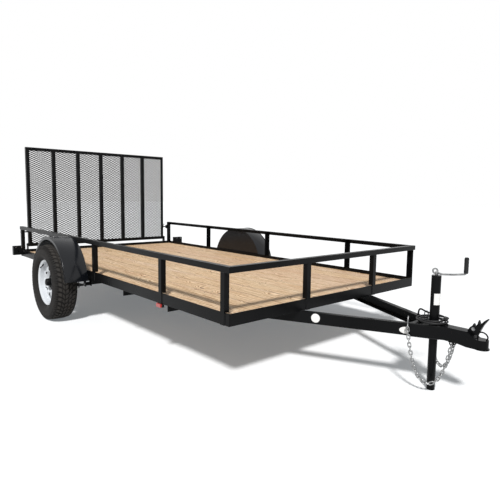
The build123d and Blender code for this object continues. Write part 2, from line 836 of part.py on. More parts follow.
# ================================================================ gate
gate_half = gate_width / 2
gate_x0 = gate_x - gate_tube / 2
gate_x1 = gate_x + gate_tube / 2
bay_pitch = (gate_width - gate_tube) / gate_bays
front_leg_x = gate_x1 - gate_wall
foot_top = gate_bottom + gate_tube
head_bottom = gate_top - gate_tube
hinge_reach = hinge_side_gap + hinge_lug_wall + hinge_pin_end
with BuildPart() as gate_frame:
    # Foot: a channel open to the rear, closed at its ends.
    block(front_leg_x, gate_x1, -gate_half, gate_half, gate_bottom, foot_top)
    block(gate_x0, front_leg_x, -gate_half, gate_half, gate_bottom, gate_bottom + gate_wall)
    block(gate_x0, front_leg_x, -gate_half, gate_half, foot_top - gate_wall, foot_top)
    # Head: an angle with its flat leg on top.
    block(front_leg_x, gate_x1, -gate_half, gate_half, head_bottom, gate_top - gate_wall)
    block(gate_x0, gate_x1, -gate_half, gate_half, gate_top - gate_wall, gate_top)
    # Uprights: angles, each with its deep leg on the side away from the middle.
    for i in range(gate_bays + 1):
        y = -gate_half + gate_tube / 2 + i * bay_pitch
        out = 1 if i == gate_bays else -1
        edge = y + out * gate_tube / 2
        block(front_leg_x, gate_x1, y - gate_tube / 2, y + gate_tube / 2, foot_top, head_bottom)
        block(gate_x0, front_leg_x, edge - out * gate_wall, edge, foot_top, gate_top - gate_wall)
    for s in (-1, 1):
        end = s * gate_half
        block(gate_x0, front_leg_x, end - s * gate_wall, end, gate_bottom + gate_wall, foot_top)
        with BuildSketch(Plane(origin=(gate_x, end, gate_hinge_z), x_dir=(1, 0, 0), z_dir=(0, s, 0))):
            Circle(hinge_pin_radius)
        extrude(amount=hinge_reach)
save(gate_frame.part, "gate_frame")

# Expanded mesh as a flat sheet with two staggered sets of diamond holes.
mesh_bottom = gate_hinge_z
mesh_height = gate_top - mesh_bottom
cell_width = gate_width / mesh_columns
cell_height = mesh_height / mesh_rows
hole_share = 1 - mesh_strand * math.hypot(cell_width, cell_height) / (cell_width * cell_height)
hole_half_width = hole_share * cell_width / 2
hole_half_height = hole_share * cell_height / 2
mesh_middle = (gate_x0, 0, mesh_bottom + mesh_height / 2)
with BuildPart() as gate_mesh:
    with BuildSketch(Plane(origin=mesh_middle, x_dir=(0, -1, 0), z_dir=(-1, 0, 0))):
        Rectangle(gate_width, mesh_height)
        for columns, rows in ((mesh_columns, mesh_rows), (mesh_columns - 1, mesh_rows - 1)):
            with GridLocations(cell_width, cell_height, columns, rows):
                Polygon(
                    (-hole_half_width, 0),
                    (0, -hole_half_height),
                    (hole_half_width, 0),
                    (0, hole_half_height),
                    align=None,
                    mode=Mode.SUBTRACT,
                )
    extrude(amount=mesh_wall)
save(gate_mesh.part, "gate_mesh")

with BuildPart() as gate_hinges:
    for s in (-1, 1):
        y0 = s * (gate_half + hinge_side_gap)
        y1 = y0 + s * hinge_lug_wall
        top = gate_hinge_z + hinge_lug_half
        block(gate_x - hinge_lug_half, rear_frame_face, y0, y1, frame_bottom + hinge_lug_lift, top)
        with BuildSketch(Plane(origin=(gate_x, y0, gate_hinge_z), x_dir=(1, 0, 0), z_dir=(0, s, 0))):
            Circle(hinge_pin_radius + hinge_pin_clearance)
        extrude(amount=hinge_lug_wall, mode=Mode.SUBTRACT)
save(gate_hinges.part, "gate_hinges")

# Latches: a pin held on each rear post, its tip by the gate's side tube.
with BuildPart() as gate_latches:
    for s in (-1, 1):
        y0 = s * (post_face - rail_size + latch_plate_gap)
        y1 = y0 + s * latch_plate_wall
        z0 = latch_z - latch_plate_height / 2
        block(gate_x - latch_plate_half, bed_rear + steel, y0, y1, z0, z0 + latch_plate_height)
        tip = (gate_x, s * (gate_half + latch_tip_gap), latch_z)
        with BuildSketch(Plane(origin=tip, x_dir=(1, 0, 0), z_dir=(0, s, 0))):
            Circle(latch_pin_radius)
        extrude(amount=latch_pin_length)
save(gate_latches.part, "gate_latches")

# ================================================================ safety chains
anchor_x = apex_x - anchor_setback
anchor_eye_z = beam_bottom - anchor_eye_drop
with BuildPart() as chain_anchor:
    x0 = anchor_x - anchor_half
    x1 = anchor_x + anchor_half
    block(x0, x1, -nose_radius, nose_radius, beam_bottom - anchor_wall, beam_bottom)
    for s in (-1, 1):
        with BuildSketch(Plane.XZ.offset(-s * anchor_eye_offset)):
            with Locations((anchor_x, anchor_eye_z)):
                Circle(anchor_eye_radius)
        extrude(amount=anchor_wall / 2, both=True)
        with BuildSketch(Plane.XZ.offset(-s * anchor_eye_offset)):
            with Locations((anchor_x, anchor_eye_z)):
                Circle(anchor_eye_hole)
        extrude(amount=anchor_wall / 2, both=True, mode=Mode.SUBTRACT)
save(chain_anchor.part, "chain_anchor")


def hanging_points(start, end, sag_radius):
    """Points of a hanging curve, an even number of whole links apart."""
    span = math.hypot(end.X - start.X, end.Y - start.Y)
    lift = (end.Z - start.Z) / (2 * sag_radius * math.sinh(span / (2 * sag_radius)))
    lowest = span / 2 - sag_radius * math.asinh(lift)
    first = sag_radius * math.sinh(-lowest / sag_radius)
    last = sag_radius * math.sinh((span - lowest) / sag_radius)
    count = 2 * round((last - first) / link_pitch / 2)
    points = []
    for i in range(count + 1):
        place = lowest + sag_radius * math.asinh((first + (last - first) * i / count) / sag_radius)
        here = start + (end - start) * (place / span)
        drop = math.cosh((place - lowest) / sag_radius) - math.cosh(lowest / sag_radius)
        points.append(Vector(here.X, here.Y, start.Z + sag_radius * drop))
    return points


hook_x = apex_x - hook_setback
link_reach = (link_length - link_wire - link_pitch) / 2
for (side, s), sag_radius in zip(SIDES, chain_sag):
    outward = Vector(math.sin(math.radians(tongue_half_angle)), s * math.cos(math.radians(tongue_half_angle)), 0)
    hook_foot = Vector(hook_x, s * beam_line(hook_x), frame_bottom)
    start = hook_foot + outward * hook_seat[0] + Vector(0, 0, hook_seat[1] - link_reach)
    end = Vector(anchor_x, s * anchor_eye_offset, anchor_eye_z - link_rest - link_reach)
    points = hanging_points(start, end, sag_radius)
    sideways = Vector(start.Y - end.Y, end.X - start.X, 0).normalized()
    with BuildPart() as chain:
        for i, (here, there) in enumerate(zip(points, points[1:])):
            along = (there - here).normalized()
            normal = along.cross(sideways) if i % 2 else sideways
            middle = (here + there) / 2
            with BuildSketch(Plane(origin=middle, x_dir=along, z_dir=normal)):
                Rectangle(link_length, link_width)
                Rectangle(link_length - 2 * link_wire, link_width - 2 * link_wire, mode=Mode.SUBTRACT)
            extrude(amount=link_wire / 2, both=True)
        # The hook lies over the beam's upper flange and holds the first link.
        hook_plane = Plane(origin=hook_foot, x_dir=outward, z_dir=outward.cross(Vector(0, 0, 1)))
        with BuildLine(hook_plane) as hook:
            Polyline(*hook_line)
        with BuildSketch(Plane(origin=hook.line @ 0, x_dir=hook_plane.z_dir, z_dir=hook.line % 0)):
            Rectangle(hook_wire, hook_wire)
        sweep(path=hook.line, transition=Transition.RIGHT)
    save(chain.part, f"chain_{side}")

# ================================================================ wiring harness
coil_x = apex_x - coil_setback
coil_bottom = plate_top + coil_gap
coil_top = coil_bottom + coil_height
exit_x = apex_x - lead_exit[0]
exit_y = lead_exit[1]
with BuildPart() as harness_coil:
    with BuildSketch(Plane.XZ):
        Polygon(
            (coil_x + coil_inner, coil_bottom + coil_chamfer),
            (coil_x + coil_inner + coil_chamfer, coil_bottom),
            (coil_x + coil_outer - coil_chamfer, coil_bottom),
            (coil_x + coil_outer, coil_bottom + coil_chamfer),
            (coil_x + coil_outer, coil_top - coil_chamfer),
            (coil_x + coil_outer - coil_chamfer, coil_top),
            (coil_x + coil_inner + coil_chamfer, coil_top),
            (coil_x + coil_inner, coil_top - coil_chamfer),
            align=None,
        )
    revolve(axis=Axis((coil_x, 0, 0), (0, 0, 1)))
save(harness_coil.part, "harness_coil")

with BuildPart() as harness_grommet:
    with BuildSketch(Plane.XY.offset(frame_bottom)):
        with Locations((exit_x, exit_y)):
            Circle(grommet_radius)
            Circle(cord_radius, mode=Mode.SUBTRACT)
    extrude(amount=grommet_height)
save(harness_grommet.part, "harness_grommet")

# The lead leaves the left beam's upper flange, arches over to the coil and lies on it.
lead_points = [Vector(exit_x, exit_y, frame_bottom)]
lead_points += [Vector(exit_x + x, exit_y + y, frame_bottom + z) for x, y, z in lead_route]
lead_points += [Vector(exit_x + x, exit_y + y, coil_top + coil_gap + cord_radius) for x, y in lead_on_coil]
lead_radii = []
for before, here, after in zip(lead_points, lead_points[1:], lead_points[2:]):
    turn = math.radians((here - before).get_angle(after - here))
    shorter = min((here - before).length, (after - here).length)
    lead_radii.append(0.45 * shorter / math.tan(turn / 2))
print("lead bend radii", [round(radius, 1) for radius in lead_radii])
with BuildPart() as harness_lead:
    with BuildLine() as lead_line:
        FilletPolyline(*lead_points, radius=lead_radii)
    with BuildSketch(Plane(origin=lead_line.line @ 0, z_dir=lead_line.line % 0)):
        Circle(cord_radius)
    sweep(path=lead_line.line)
lead_length = lead_line.wire().length
lead_share = harness_lead.part.volume / (math.pi * cord_radius**2 * lead_length)
print("lead length", round(lead_length, 1), "volume over section times length", round(lead_share, 4))
save(harness_lead.part, "harness_lead")

with BuildPart() as harness_plug:
    x = coil_x + plug_place[0]
    y = plug_place[1]
    length, width, height = plug_size
    block(x - length / 2, x + length / 2, y - width / 2, y + width / 2, coil_top, coil_top + height)
save(harness_plug.part, "harness_plug")
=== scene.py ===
import json
import math
import random

import bmesh
import bpy
from mathutils import Matrix, Vector


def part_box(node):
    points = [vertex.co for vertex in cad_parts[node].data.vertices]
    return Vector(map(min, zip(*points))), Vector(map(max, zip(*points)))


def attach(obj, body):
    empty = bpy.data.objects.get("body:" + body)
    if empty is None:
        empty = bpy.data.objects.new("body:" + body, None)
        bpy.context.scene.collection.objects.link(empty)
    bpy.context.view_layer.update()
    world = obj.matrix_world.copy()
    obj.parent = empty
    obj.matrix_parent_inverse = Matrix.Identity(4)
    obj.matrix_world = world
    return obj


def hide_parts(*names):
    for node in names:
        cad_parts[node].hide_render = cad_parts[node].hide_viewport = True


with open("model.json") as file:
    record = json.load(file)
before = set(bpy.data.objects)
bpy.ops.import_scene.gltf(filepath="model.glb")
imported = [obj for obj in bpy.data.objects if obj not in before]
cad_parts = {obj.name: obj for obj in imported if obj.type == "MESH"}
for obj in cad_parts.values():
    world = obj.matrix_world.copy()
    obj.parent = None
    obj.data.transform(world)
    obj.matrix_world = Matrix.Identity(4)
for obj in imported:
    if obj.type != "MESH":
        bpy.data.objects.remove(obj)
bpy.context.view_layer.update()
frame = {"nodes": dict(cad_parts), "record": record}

# Looks of a utility trailer. Metres, in the frame's own axes: +X to the coupler, +Y left, +Z up.

SIDES = (("right", -1), ("left", 1))
random.seed(7)


# ======== places read from the frame
def low(node):
    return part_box(node)[0]


def high(node):
    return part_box(node)[1]


def joint_place(name):
    for joint in frame["record"]["behaviour"]["joints"]:
        if joint["name"] == name:
            return Vector(joint["pos_m"])


MM = 0.001
TONGUE_REACH = 0.863  # from the bed's front to the beams' apex
BRACKET_PLACE = 3.8  # the light brackets' face, behind the bed's front
POST_WIDTH = 0.038
DECK_BOARDS = 11

bed_front = high("rail_right").x
bed_rear = low("rail_right").x
rail_top = high("rail_right").z
frame_face = high("side_frame_left").y
frame_bottom = low("side_frame_left").z
frame_top = high("side_frame_left").z
deck_top = high("deck_boards").z
beam_bottom = low("tongue_beam_left").z
apex_x = bed_front + TONGUE_REACH
jack_axis = joint_place("crank_turn")
wheel_centres = {side: joint_place(f"wheel_{side}_spin") for side, s in SIDES}
beam_angle = math.radians(25)
axle_x = wheel_centres["left"].x

# ======== camera
CAMERA_PLACE = (3.534, -2.670, 1.168)
CAMERA_YAW = math.radians(137.55)
CAMERA_PITCH = math.radians(5.88)
CAMERA_ROLL = math.radians(0.894)
FRAME_PIXELS = 500
FOCAL_PIXELS = 469.9
VIEW_CENTRE = (259.4, 243.8)
SENSOR = 36.0


def make_camera():
    forward = Vector(
        (
            math.cos(CAMERA_PITCH) * math.cos(CAMERA_YAW),
            math.cos(CAMERA_PITCH) * math.sin(CAMERA_YAW),
            -math.sin(CAMERA_PITCH),
        )
    )
    level = Vector((math.sin(CAMERA_YAW), -math.cos(CAMERA_YAW), 0))
    upright = level.cross(forward)
    right = math.cos(CAMERA_ROLL) * level + math.sin(CAMERA_ROLL) * upright
    up = -math.sin(CAMERA_ROLL) * level + math.cos(CAMERA_ROLL) * upright
    data = bpy.data.cameras.new("photo_camera")
    data.sensor_width = SENSOR
    data.lens = SENSOR * FOCAL_PIXELS / FRAME_PIXELS
    data.shift_x = (FRAME_PIXELS / 2 - VIEW_CENTRE[0]) / FRAME_PIXELS
    data.shift_y = (VIEW_CENTRE[1] - FRAME_PIXELS / 2) / FRAME_PIXELS
    camera = bpy.data.objects.new("photo_camera", data)
    bpy.context.collection.objects.link(camera)
    turn = Matrix((right, up, -forward)).transposed().to_4x4()
    camera.matrix_world = Matrix.Translation(CAMERA_PLACE) @ turn
    bpy.context.scene.camera = camera


make_camera()


# ======== helpers for meshes
def add_object(name, mesh, material):
    mesh.materials.append(material)
    piece = bpy.data.objects.new(name, mesh)
    bpy.context.collection.objects.link(piece)
    return piece


def around(first, second, turn):
    """The direction that a turn from first towards second leads to."""
    return first * math.cos(turn) + second * math.sin(turn)


def wheel_plane(turn):
    """A unit vector in the XZ plane, the plane that the wheels turn in."""
    return Vector((math.cos(turn), 0, math.sin(turn)))


class Mesh:
    """Collects vertices and faces of one piece."""

    def __init__(self):
        self.points = []
        self.faces = []

    def ring_strip(self, rings, close_path=False):
        """Joins rings of equally many points by quads, and caps the two ends of an open path."""
        start = len(self.points)
        size = len(rings[0])
        for ring in rings:
            self.points.extend(ring)
        count = len(rings)
        for i in range(count if close_path else count - 1):
            j = (i + 1) % count
            for k in range(size):
                m = (k + 1) % size
                a = start + i * size
                b = start + j * size
                self.faces.append((a + k, a + m, b + m, b + k))
        if not close_path:
            self.faces.append(tuple(start + k for k in reversed(range(size))))
            last = start + (count - 1) * size
            self.faces.append(tuple(last + k for k in range(size)))

    def tube(self, path, radius, sides=8, closed=False):
        """A round bar along a path. radius is one number or a list, one for each point."""
        radii = radius if isinstance(radius, (list, tuple)) else [radius] * len(path)
        count = len(path)
        rings = []
        guide = None
        for i, point in enumerate(path):
            before = path[i - 1] if i or closed else path[0]
            after = path[(i + 1) % count] if i < count - 1 or closed else path[-1]
            along = (Vector(after) - Vector(before)).normalized()
            if guide is None:
                guide = along.orthogonal().normalized()
            guide = (guide - along * guide.dot(along)).normalized()
            other = along.cross(guide)
            ring = []
            for k in range(sides):
                reach = around(guide, other, 2 * math.pi * k / sides)
                ring.append(Vector(point) + reach * radii[i])
            rings.append(ring)
        self.ring_strip(rings, close_path=closed)

    def lathe(self, centre, axis, outline, steps=32):
        """Turns an outline of (distance along the axis, radius) about an axis through centre."""
        axis = Vector(axis).normalized()
        first = axis.orthogonal().normalized()
        second = axis.cross(first)
        rings = []
        for along, radius in outline:
            ring = []
            for k in range(steps):
                reach = around(first, second, 2 * math.pi * k / steps)
                ring.append(Vector(centre) + axis * along + reach * radius)
            rings.append(ring)
        self.ring_strip(rings)

    def box(self, lowest, highest, bevel=0.0):
        """A box with its edges cut by a bevel."""
        x0, y0, z0 = lowest
        x1, y1, z1 = highest
        b = min(bevel, (x1 - x0) / 2.1, (y1 - y0) / 2.1, (z1 - z0) / 2.1)

        def ring(z, inset):
            left, right = x0 + inset, x1 - inset
            near, far = y0 + inset, y1 - inset
            corners = (
                (left + b, near), (right - b, near), (right, near + b), (right, far - b),
                (right - b, far), (left + b, far), (left, far - b), (left, near + b),
            )
            return [Vector((x, y, z)) for x, y in corners]

        self.ring_strip([ring(z0, b), ring(z0 + b, 0), ring(z1 - b, 0), ring(z1, b)])

    def build(self, name, material, body, smooth=True, replaces=()):
        mesh = bpy.data.meshes.new(name)
        mesh.from_pydata([tuple(p) for p in self.points], [], self.faces)
        mesh.validate()
        work = bmesh.new()
        work.from_mesh(mesh)
        bmesh.ops.recalc_face_normals(work, faces=work.faces)
        work.to_mesh(mesh)
        work.free()
        piece = add_object(name, mesh, material)
        if smooth:
            mesh.set_sharp_from_angle(angle=math.radians(40))
            for polygon in mesh.polygons:
                polygon.use_smooth = True
        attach(piece, body)
        if replaces:
            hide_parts(*replaces)
        return piece


# ======== helpers for materials
class Shader:
    """A material whose nodes are added one by one."""

    def __init__(self, name, roughness=0.5, metallic=0.0):
        self.material = bpy.data.materials.new(name)
        self.material.use_nodes = True
        self.nodes = self.material.node_tree.nodes
        self.links = self.material.node_tree.links
        self.surface = self.nodes["Principled BSDF"]
        self.surface.inputs["Metallic"].default_value = metallic
        self.surface.inputs["Roughness"].default_value = roughness
        self.coordinates = self.nodes.new("ShaderNodeTexCoord").outputs["Object"]

    def link(self, source, target):
        self.links.new(source, target)

    def stretch(self, scale, source):
        node = self.nodes.new("ShaderNodeMapping")
        node.inputs["Scale"].default_value = scale
        self.link(source, node.inputs["Vector"])
        return node.outputs["Vector"]

    def noise(self, scale, source=None, detail=4.0):
        node = self.nodes.new("ShaderNodeTexNoise")
        node.inputs["Scale"].default_value = scale
        node.inputs["Detail"].default_value = detail
        node.inputs["Roughness"].default_value = 0.55
        self.link(source or self.coordinates, node.inputs["Vector"])
        return node.outputs["Fac"]

    def ramp(self, source, *stops):
        """Colours along 0 to 1. Each stop is (place, colour)."""
        node = self.nodes.new("ShaderNodeValToRGB")
        elements = node.color_ramp.elements
        while len(elements) < len(stops):
            elements.new(0.5)
        for element, (place, colour) in zip(elements, stops):
            element.position = place
            element.color = (*colour, 1)
        self.link(source, node.inputs["Fac"])
        return node.outputs["Color"]

    def grey_ramp(self, source, *stops):
        return self.ramp(source, *[(place, (level, level, level)) for place, level in stops])

    def math(self, operation, first, second):
        node = self.nodes.new("ShaderNodeMath")
        node.operation = operation
        for socket, value in zip(node.inputs, (first, second)):
            if isinstance(value, (int, float)):
                socket.default_value = value
            else:
                self.link(value, socket)
        return node.outputs["Value"]

    def mix(self, factor, first, second, blend="MIX"):
        node = self.nodes.new("ShaderNodeMix")
        node.data_type = "RGBA"
        node.blend_type = blend
        for name, value in (("Factor", factor), ("A", first), ("B", second)):
            socket = [i for i in node.inputs if i.name == name and i.type in ("RGBA", "VALUE")]
            socket = socket[0] if name == "Factor" else [i for i in socket if i.type == "RGBA"][0]
            if isinstance(value, (int, float)):
                socket.default_value = value
            elif isinstance(value, tuple):
                socket.default_value = (*value, 1)
            else:
                self.link(value, socket)
        return [o for o in node.outputs if o.type == "RGBA"][0]

    def clamped(self, value, gain):
        """value times gain, held between 0 and 1."""
        scaled = self.math("MULTIPLY", value, gain)
        return self.math("MINIMUM", self.math("MAXIMUM", scaled, 0.0), 1.0)

    def parts(self, vector):
        """The X, Y and Z outputs of a vector."""
        node = self.nodes.new("ShaderNodeSeparateXYZ")
        self.link(vector, node.inputs["Vector"])
        return node.outputs

    def combine(self, **values):
        """A vector from the named X, Y and Z."""
        node = self.nodes.new("ShaderNodeCombineXYZ")
        for axis, value in values.items():
            self.link(value, node.inputs[axis])
        return node.outputs["Vector"]

    def add(self, first, second):
        node = self.nodes.new("ShaderNodeVectorMath")
        node.operation = "ADD"
        self.link(first, node.inputs[0])
        self.link(second, node.inputs[1])
        return node.outputs["Vector"]

    def facing(self):
        """The surface's direction in the object's axes, as X, Y and Z outputs."""
        return self.parts(self.nodes.new("ShaderNodeTexCoord").outputs["Normal"])

    def colour(self, source):
        self.link(source, self.surface.inputs["Base Color"])

    def rough(self, source):
        self.link(source, self.surface.inputs["Roughness"])

    def bump(self, height, distance, strength=1.0):
        node = self.nodes.new("ShaderNodeBump")
        node.inputs["Distance"].default_value = distance
        node.inputs["Strength"].default_value = strength
        self.link(height, node.inputs["Height"])
        self.link(node.outputs["Normal"], self.surface.inputs["Normal"])


# Nearly black: painted shade for the inside of the wheel rims.
PAINTED_SHADE = (0.012, 0.012, 0.013)


def paint(name, dark, light, roughness, shine, peel=0.00015, dust=0.35, shade_within=0.0):
    """Sprayed paint with orange peel, a faint film of dust and uneven gloss.

    Nearer the middle plane than the distance given last, and on faces turned to that plane, it carries painted shade,
    nearly black.
    """
    shader = Shader(name)
    shader.surface.inputs["Specular IOR Level"].default_value = shine
    film = shader.noise(3.0, detail=6.0)
    fine = shader.noise(60.0, detail=3.0)
    base = shader.ramp(film, (0.35, dark), (0.75, light))
    dusty = shader.grey_ramp(fine, (0.45, 0.0), (0.9, dust))
    colour = shader.mix(dusty, base, tuple(2.2 * c for c in light))
    # Painted shade: the inside of the dish and barrel goes nearly black, where shade falls.
    if shade_within:
        y = shader.parts(shader.coordinates)["Y"]
        beyond = shader.math("SUBTRACT", shader.math("ABSOLUTE", y, 0.0), shade_within)
        outside = shader.clamped(beyond, 400.0)
        outward = shader.math("MULTIPLY", shader.facing()["Y"], y)
        turned = shader.clamped(shader.math("ADD", outward, 0.35), 4.0)
        colour = shader.mix(shader.math("MULTIPLY", outside, turned), PAINTED_SHADE, colour)
    shader.colour(colour)
    shader.rough(shader.grey_ramp(film, (0.3, roughness - 0.06), (0.75, roughness + 0.1)))
    shader.bump(shader.noise(420.0, detail=2.0), peel)
    return shader.material


def make_plank():
    """Flat-sawn pine: long growth-ring arcs, fine fibres, scattered knots, each board its own.

    The sawn sides carry painted shade, and painted shade makes the underside half as bright as the top.
    """
    shader = Shader("pine_plank")
    board = shader.nodes.new("ShaderNodeNewGeometry").outputs["Random Per Island"]
    shift = {axis: shader.math("MULTIPLY", board, by) for axis, by in (("X", 41.0), ("Y", 3.7), ("Z", 0.9))}
    place = shader.add(shader.coordinates, shader.combine(**shift))

    knots = shader.nodes.new("ShaderNodeTexVoronoi")
    knots.inputs["Scale"].default_value = 1.0
    shader.link(shader.stretch((4.6, 8.5, 8.5), place), knots.inputs["Vector"])
    pick = shader.nodes.new("ShaderNodeSeparateColor")
    shader.link(knots.outputs["Color"], pick.inputs["Color"])
    kept = shader.grey_ramp(pick.outputs["Red"], (0.70, 0.0), (0.72, 1.0))
    away = knots.outputs["Distance"]
    knot = shader.math("MULTIPLY", kept, shader.grey_ramp(away, (0.0, 1.0), (0.10, 0.9), (0.15, 0.0)))
    around = shader.math("MULTIPLY", kept, shader.grey_ramp(away, (0.05, 1.0), (0.45, 0.0)))

    rings = shader.nodes.new("ShaderNodeTexWave")
    rings.wave_type = "BANDS"
    rings.bands_direction = "Y"
    settings = (("Scale", 9.0), ("Distortion", 9.0), ("Detail", 3.0), ("Detail Scale", 0.9), ("Detail Roughness", 0.6))
    for socket, value in settings:
        rings.inputs[socket].default_value = value
    bend = shader.combine(Y=shader.math("MULTIPLY", around, 0.09))
    shader.link(shader.add(shader.stretch((0.32, 1.6, 1.0), place), bend), rings.inputs["Vector"])

    fibre = shader.noise(1.0, shader.stretch((6.0, 420.0, 420.0), place), detail=3.0)
    patches = shader.noise(1.0, shader.stretch((0.8, 6.0, 6.0), place), detail=3.0)
    tone = shader.ramp(
        rings.outputs["Fac"],
        (0.1, (0.82, 0.68, 0.51)),
        (0.45, (0.72, 0.565, 0.40)),
        (0.76, (0.53, 0.36, 0.215)),
        (1.0, (0.32, 0.19, 0.10)),
    )
    by_board = shader.ramp(
        board,
        (0.0, (1.0, 0.99, 0.90)),
        (0.35, (0.92, 0.87, 0.86)),
        (0.65, (1.0, 0.97, 0.88)),
        (1.0, (0.98, 0.96, 0.98)),
    )
    tone = shader.mix(1.0, tone, by_board, "MULTIPLY")
    stain = shader.ramp(patches, (0.35, (1.0, 1.0, 1.0)), (0.8, (0.95, 0.85, 0.72)))
    tone = shader.mix(1.0, tone, stain, "MULTIPLY")
    streak = shader.ramp(fibre, (0.35, (0.78, 0.71, 0.63)), (0.6, (1.0, 1.0, 1.0)))
    tone = shader.mix(1.0, tone, streak, "MULTIPLY")
    tone = shader.mix(knot, tone, (0.10, 0.045, 0.02))
    # Painted shade: by facing, the sides fall to 0.16 and the underside to 0.45 of the top's colour.
    upward = shader.parts(shader.nodes.new("ShaderNodeNewGeometry").outputs["True Normal"])["Z"]
    top = shader.grey_ramp(upward, (0.6, 0.16), (0.98, 1.0))
    under = shader.grey_ramp(shader.math("MULTIPLY", upward, -1.0), (0.6, 0.16), (0.98, 0.45))
    tone = shader.mix(1.0, tone, shader.math("MAXIMUM", top, under), "MULTIPLY")
    shader.colour(tone)
    shader.rough(shader.grey_ramp(fibre, (0.3, 0.72), (0.7, 0.55)))
    height = shader.math("ADD", fibre, shader.math("MULTIPLY", rings.outputs["Fac"], 0.6))
    shader.bump(height, 0.0006, 0.8)
    return shader.material


RUBBER_SHINE = 0.25


def make_rubber(name, dark, light, roughness, grain, depth):
    """Rubber or moulded plastic with a dusty bloom and a fine grain."""
    shader = Shader(name)
    shader.surface.inputs["Specular IOR Level"].default_value = RUBBER_SHINE
    bloom = shader.noise(9.0, detail=5.0)
    shader.colour(shader.ramp(bloom, (0.35, dark), (0.8, light)))
    shader.rough(shader.grey_ramp(bloom, (0.3, roughness), (0.8, min(1.0, roughness + 0.15))))
    shader.bump(shader.noise(grain, detail=3.0), depth)
    return shader.material


def make_plated():
    """Zinc plate: bright, faintly mottled, with a little dulling."""
    shader = Shader("zinc_plate", metallic=1.0)
    mottle = shader.noise(90.0, detail=4.0)
    shader.colour(shader.ramp(mottle, (0.3, (0.20, 0.205, 0.21)), (0.7, (0.42, 0.42, 0.415))))
    shader.rough(shader.grey_ramp(mottle, (0.3, 0.26), (0.7, 0.42)))
    shader.bump(shader.noise(700.0, detail=2.0), 0.0001)
    return shader.material


def make_lens(name, dark, light, rear_only=False):
    """Moulded lamp lens with rows of small prisms; rear_only leaves its sides and front black."""
    shader = Shader(name, roughness=0.12)
    ribs = shader.nodes.new("ShaderNodeTexWave")
    ribs.bands_direction = "Z"
    ribs.inputs["Scale"].default_value = 60.0
    shader.link(shader.coordinates, ribs.inputs["Vector"])
    shade = shader.mix(0.35, ribs.outputs["Fac"], shader.noise(40.0))
    colour = shader.ramp(shade, (0.2, dark), (0.8, light))
    if rear_only:
        rearward = shader.math("MULTIPLY", shader.facing()["X"], -1.0)
        rearward = shader.grey_ramp(rearward, (0.4, 0.0), (0.7, 1.0))
        colour = shader.mix(rearward, (0.008, 0.008, 0.008), colour)
    shader.colour(colour)
    shader.bump(ribs.outputs["Fac"], 0.0008)
    shader.surface.inputs["Coat Weight"].default_value = 0.0 if rear_only else 0.6
    return shader.material


def make_label(name, tint):
    """Printed film left blank: faint creases and a worn edge."""
    shader = Shader(name)
    wear = shader.noise(55.0, detail=5.0)
    shader.colour(shader.ramp(wear, (0.3, tuple(0.9 * c for c in tint)), (0.6, tint)))
    shader.rough(shader.grey_ramp(wear, (0.3, 0.32), (0.8, 0.5)))
    shader.bump(shader.noise(120.0), 0.0002)
    return shader.material


DISC_FACE = 0.0145  # the rim disc's outer face, outboard of the wheel's middle
LENS_RED = ((0.22, 0.006, 0.005), (0.50, 0.028, 0.02))

black = paint("black_paint", (0.0018, 0.0019, 0.0021), (0.0036, 0.0038, 0.0042), 0.30, 0.10, dust=0.06)
fender_black = paint(
    "fender_black", (0.003, 0.0036, 0.005), (0.0055, 0.0066, 0.009), 0.20, 0.34, peel=0.0001, dust=0.05
)
mesh_black = paint("mesh_black", (0.004, 0.004, 0.0045), (0.008, 0.008, 0.0085), 0.45, 0.2)
weld_black = paint("weld_black", (0.0035, 0.0037, 0.004), (0.007, 0.0073, 0.008), 0.4, 0.2, peel=0.0004)
# White wheel paint, with painted shade inside the rim's dish and barrel.
wheel_white = paint(
    "wheel_white",
    (0.50, 0.52, 0.545),
    (0.58, 0.60, 0.625),
    0.24,
    0.4,
    dust=0.0,
    shade_within=abs(wheel_centres["right"].y) + DISC_FACE,
)
plank = make_plank()
tyre_black = make_rubber("tyre_black", (0.0055, 0.005, 0.0047), (0.0155, 0.0133, 0.0118), 0.72, 260.0, 0.0004)
# Painted highlight: a lighter copy of the tyre's rubber, for the lit tops of the tread blocks.
tread_lit_rubber = make_rubber("tread_lit_rubber", (0.018, 0.0163, 0.0148), (0.044, 0.039, 0.034), 0.8, 200.0, 0.0004)
cable_black = make_rubber("cable_black", (0.006, 0.006, 0.0065), (0.013, 0.013, 0.0135), 0.45, 500.0, 0.0001)
plated = make_plated()
red_lens = make_lens("red_lens", *LENS_RED)
rear_lens = make_lens("rear_lens", *LENS_RED, rear_only=True)
blank_label = make_label("blank_label", (0.74, 0.73, 0.71))


# ======== the CAD nodes that stay
NODE_MATERIALS = (  # start of the node's name, material, width of the bevel on its edges
    ("deck", plank, 0.0015),
    ("fender", fender_black, 0.0008),
    ("rim", wheel_white, 0.0012),
    ("tyre", tyre_black, 0.0),
    ("chain_left", plated, 0.0),
    ("chain_right", plated, 0.0),
    ("crank_arm", plated, 0.0008),
    ("spring_clamp", plated, 0.0),
    ("tail_light", rear_lens, 0.003),
    ("marker_light", red_lens, 0.003),
    ("crank_grip", cable_black, 0.003),
    ("harness", cable_black, 0.0015),
    ("gate_mesh", mesh_black, 0.0),
    ("", black, 0.0011),
)


def dress_nodes():
    for name, node in frame["nodes"].items():
        for start, material, bevel in NODE_MATERIALS:
            if name.startswith(start):
                break
        node.data.materials.clear()
        node.data.materials.append(material)
        if bevel:
            weld = node.modifiers.new("weld", "WELD")
            weld.merge_threshold = 0.00002
            edge = node.modifiers.new("bevel", "BEVEL")
            edge.width = bevel
            edge.segments = 2
            edge.limit_method = "ANGLE"
            edge.angle_limit = math.radians(35)
            edge.harden_normals = False


dress_nodes()


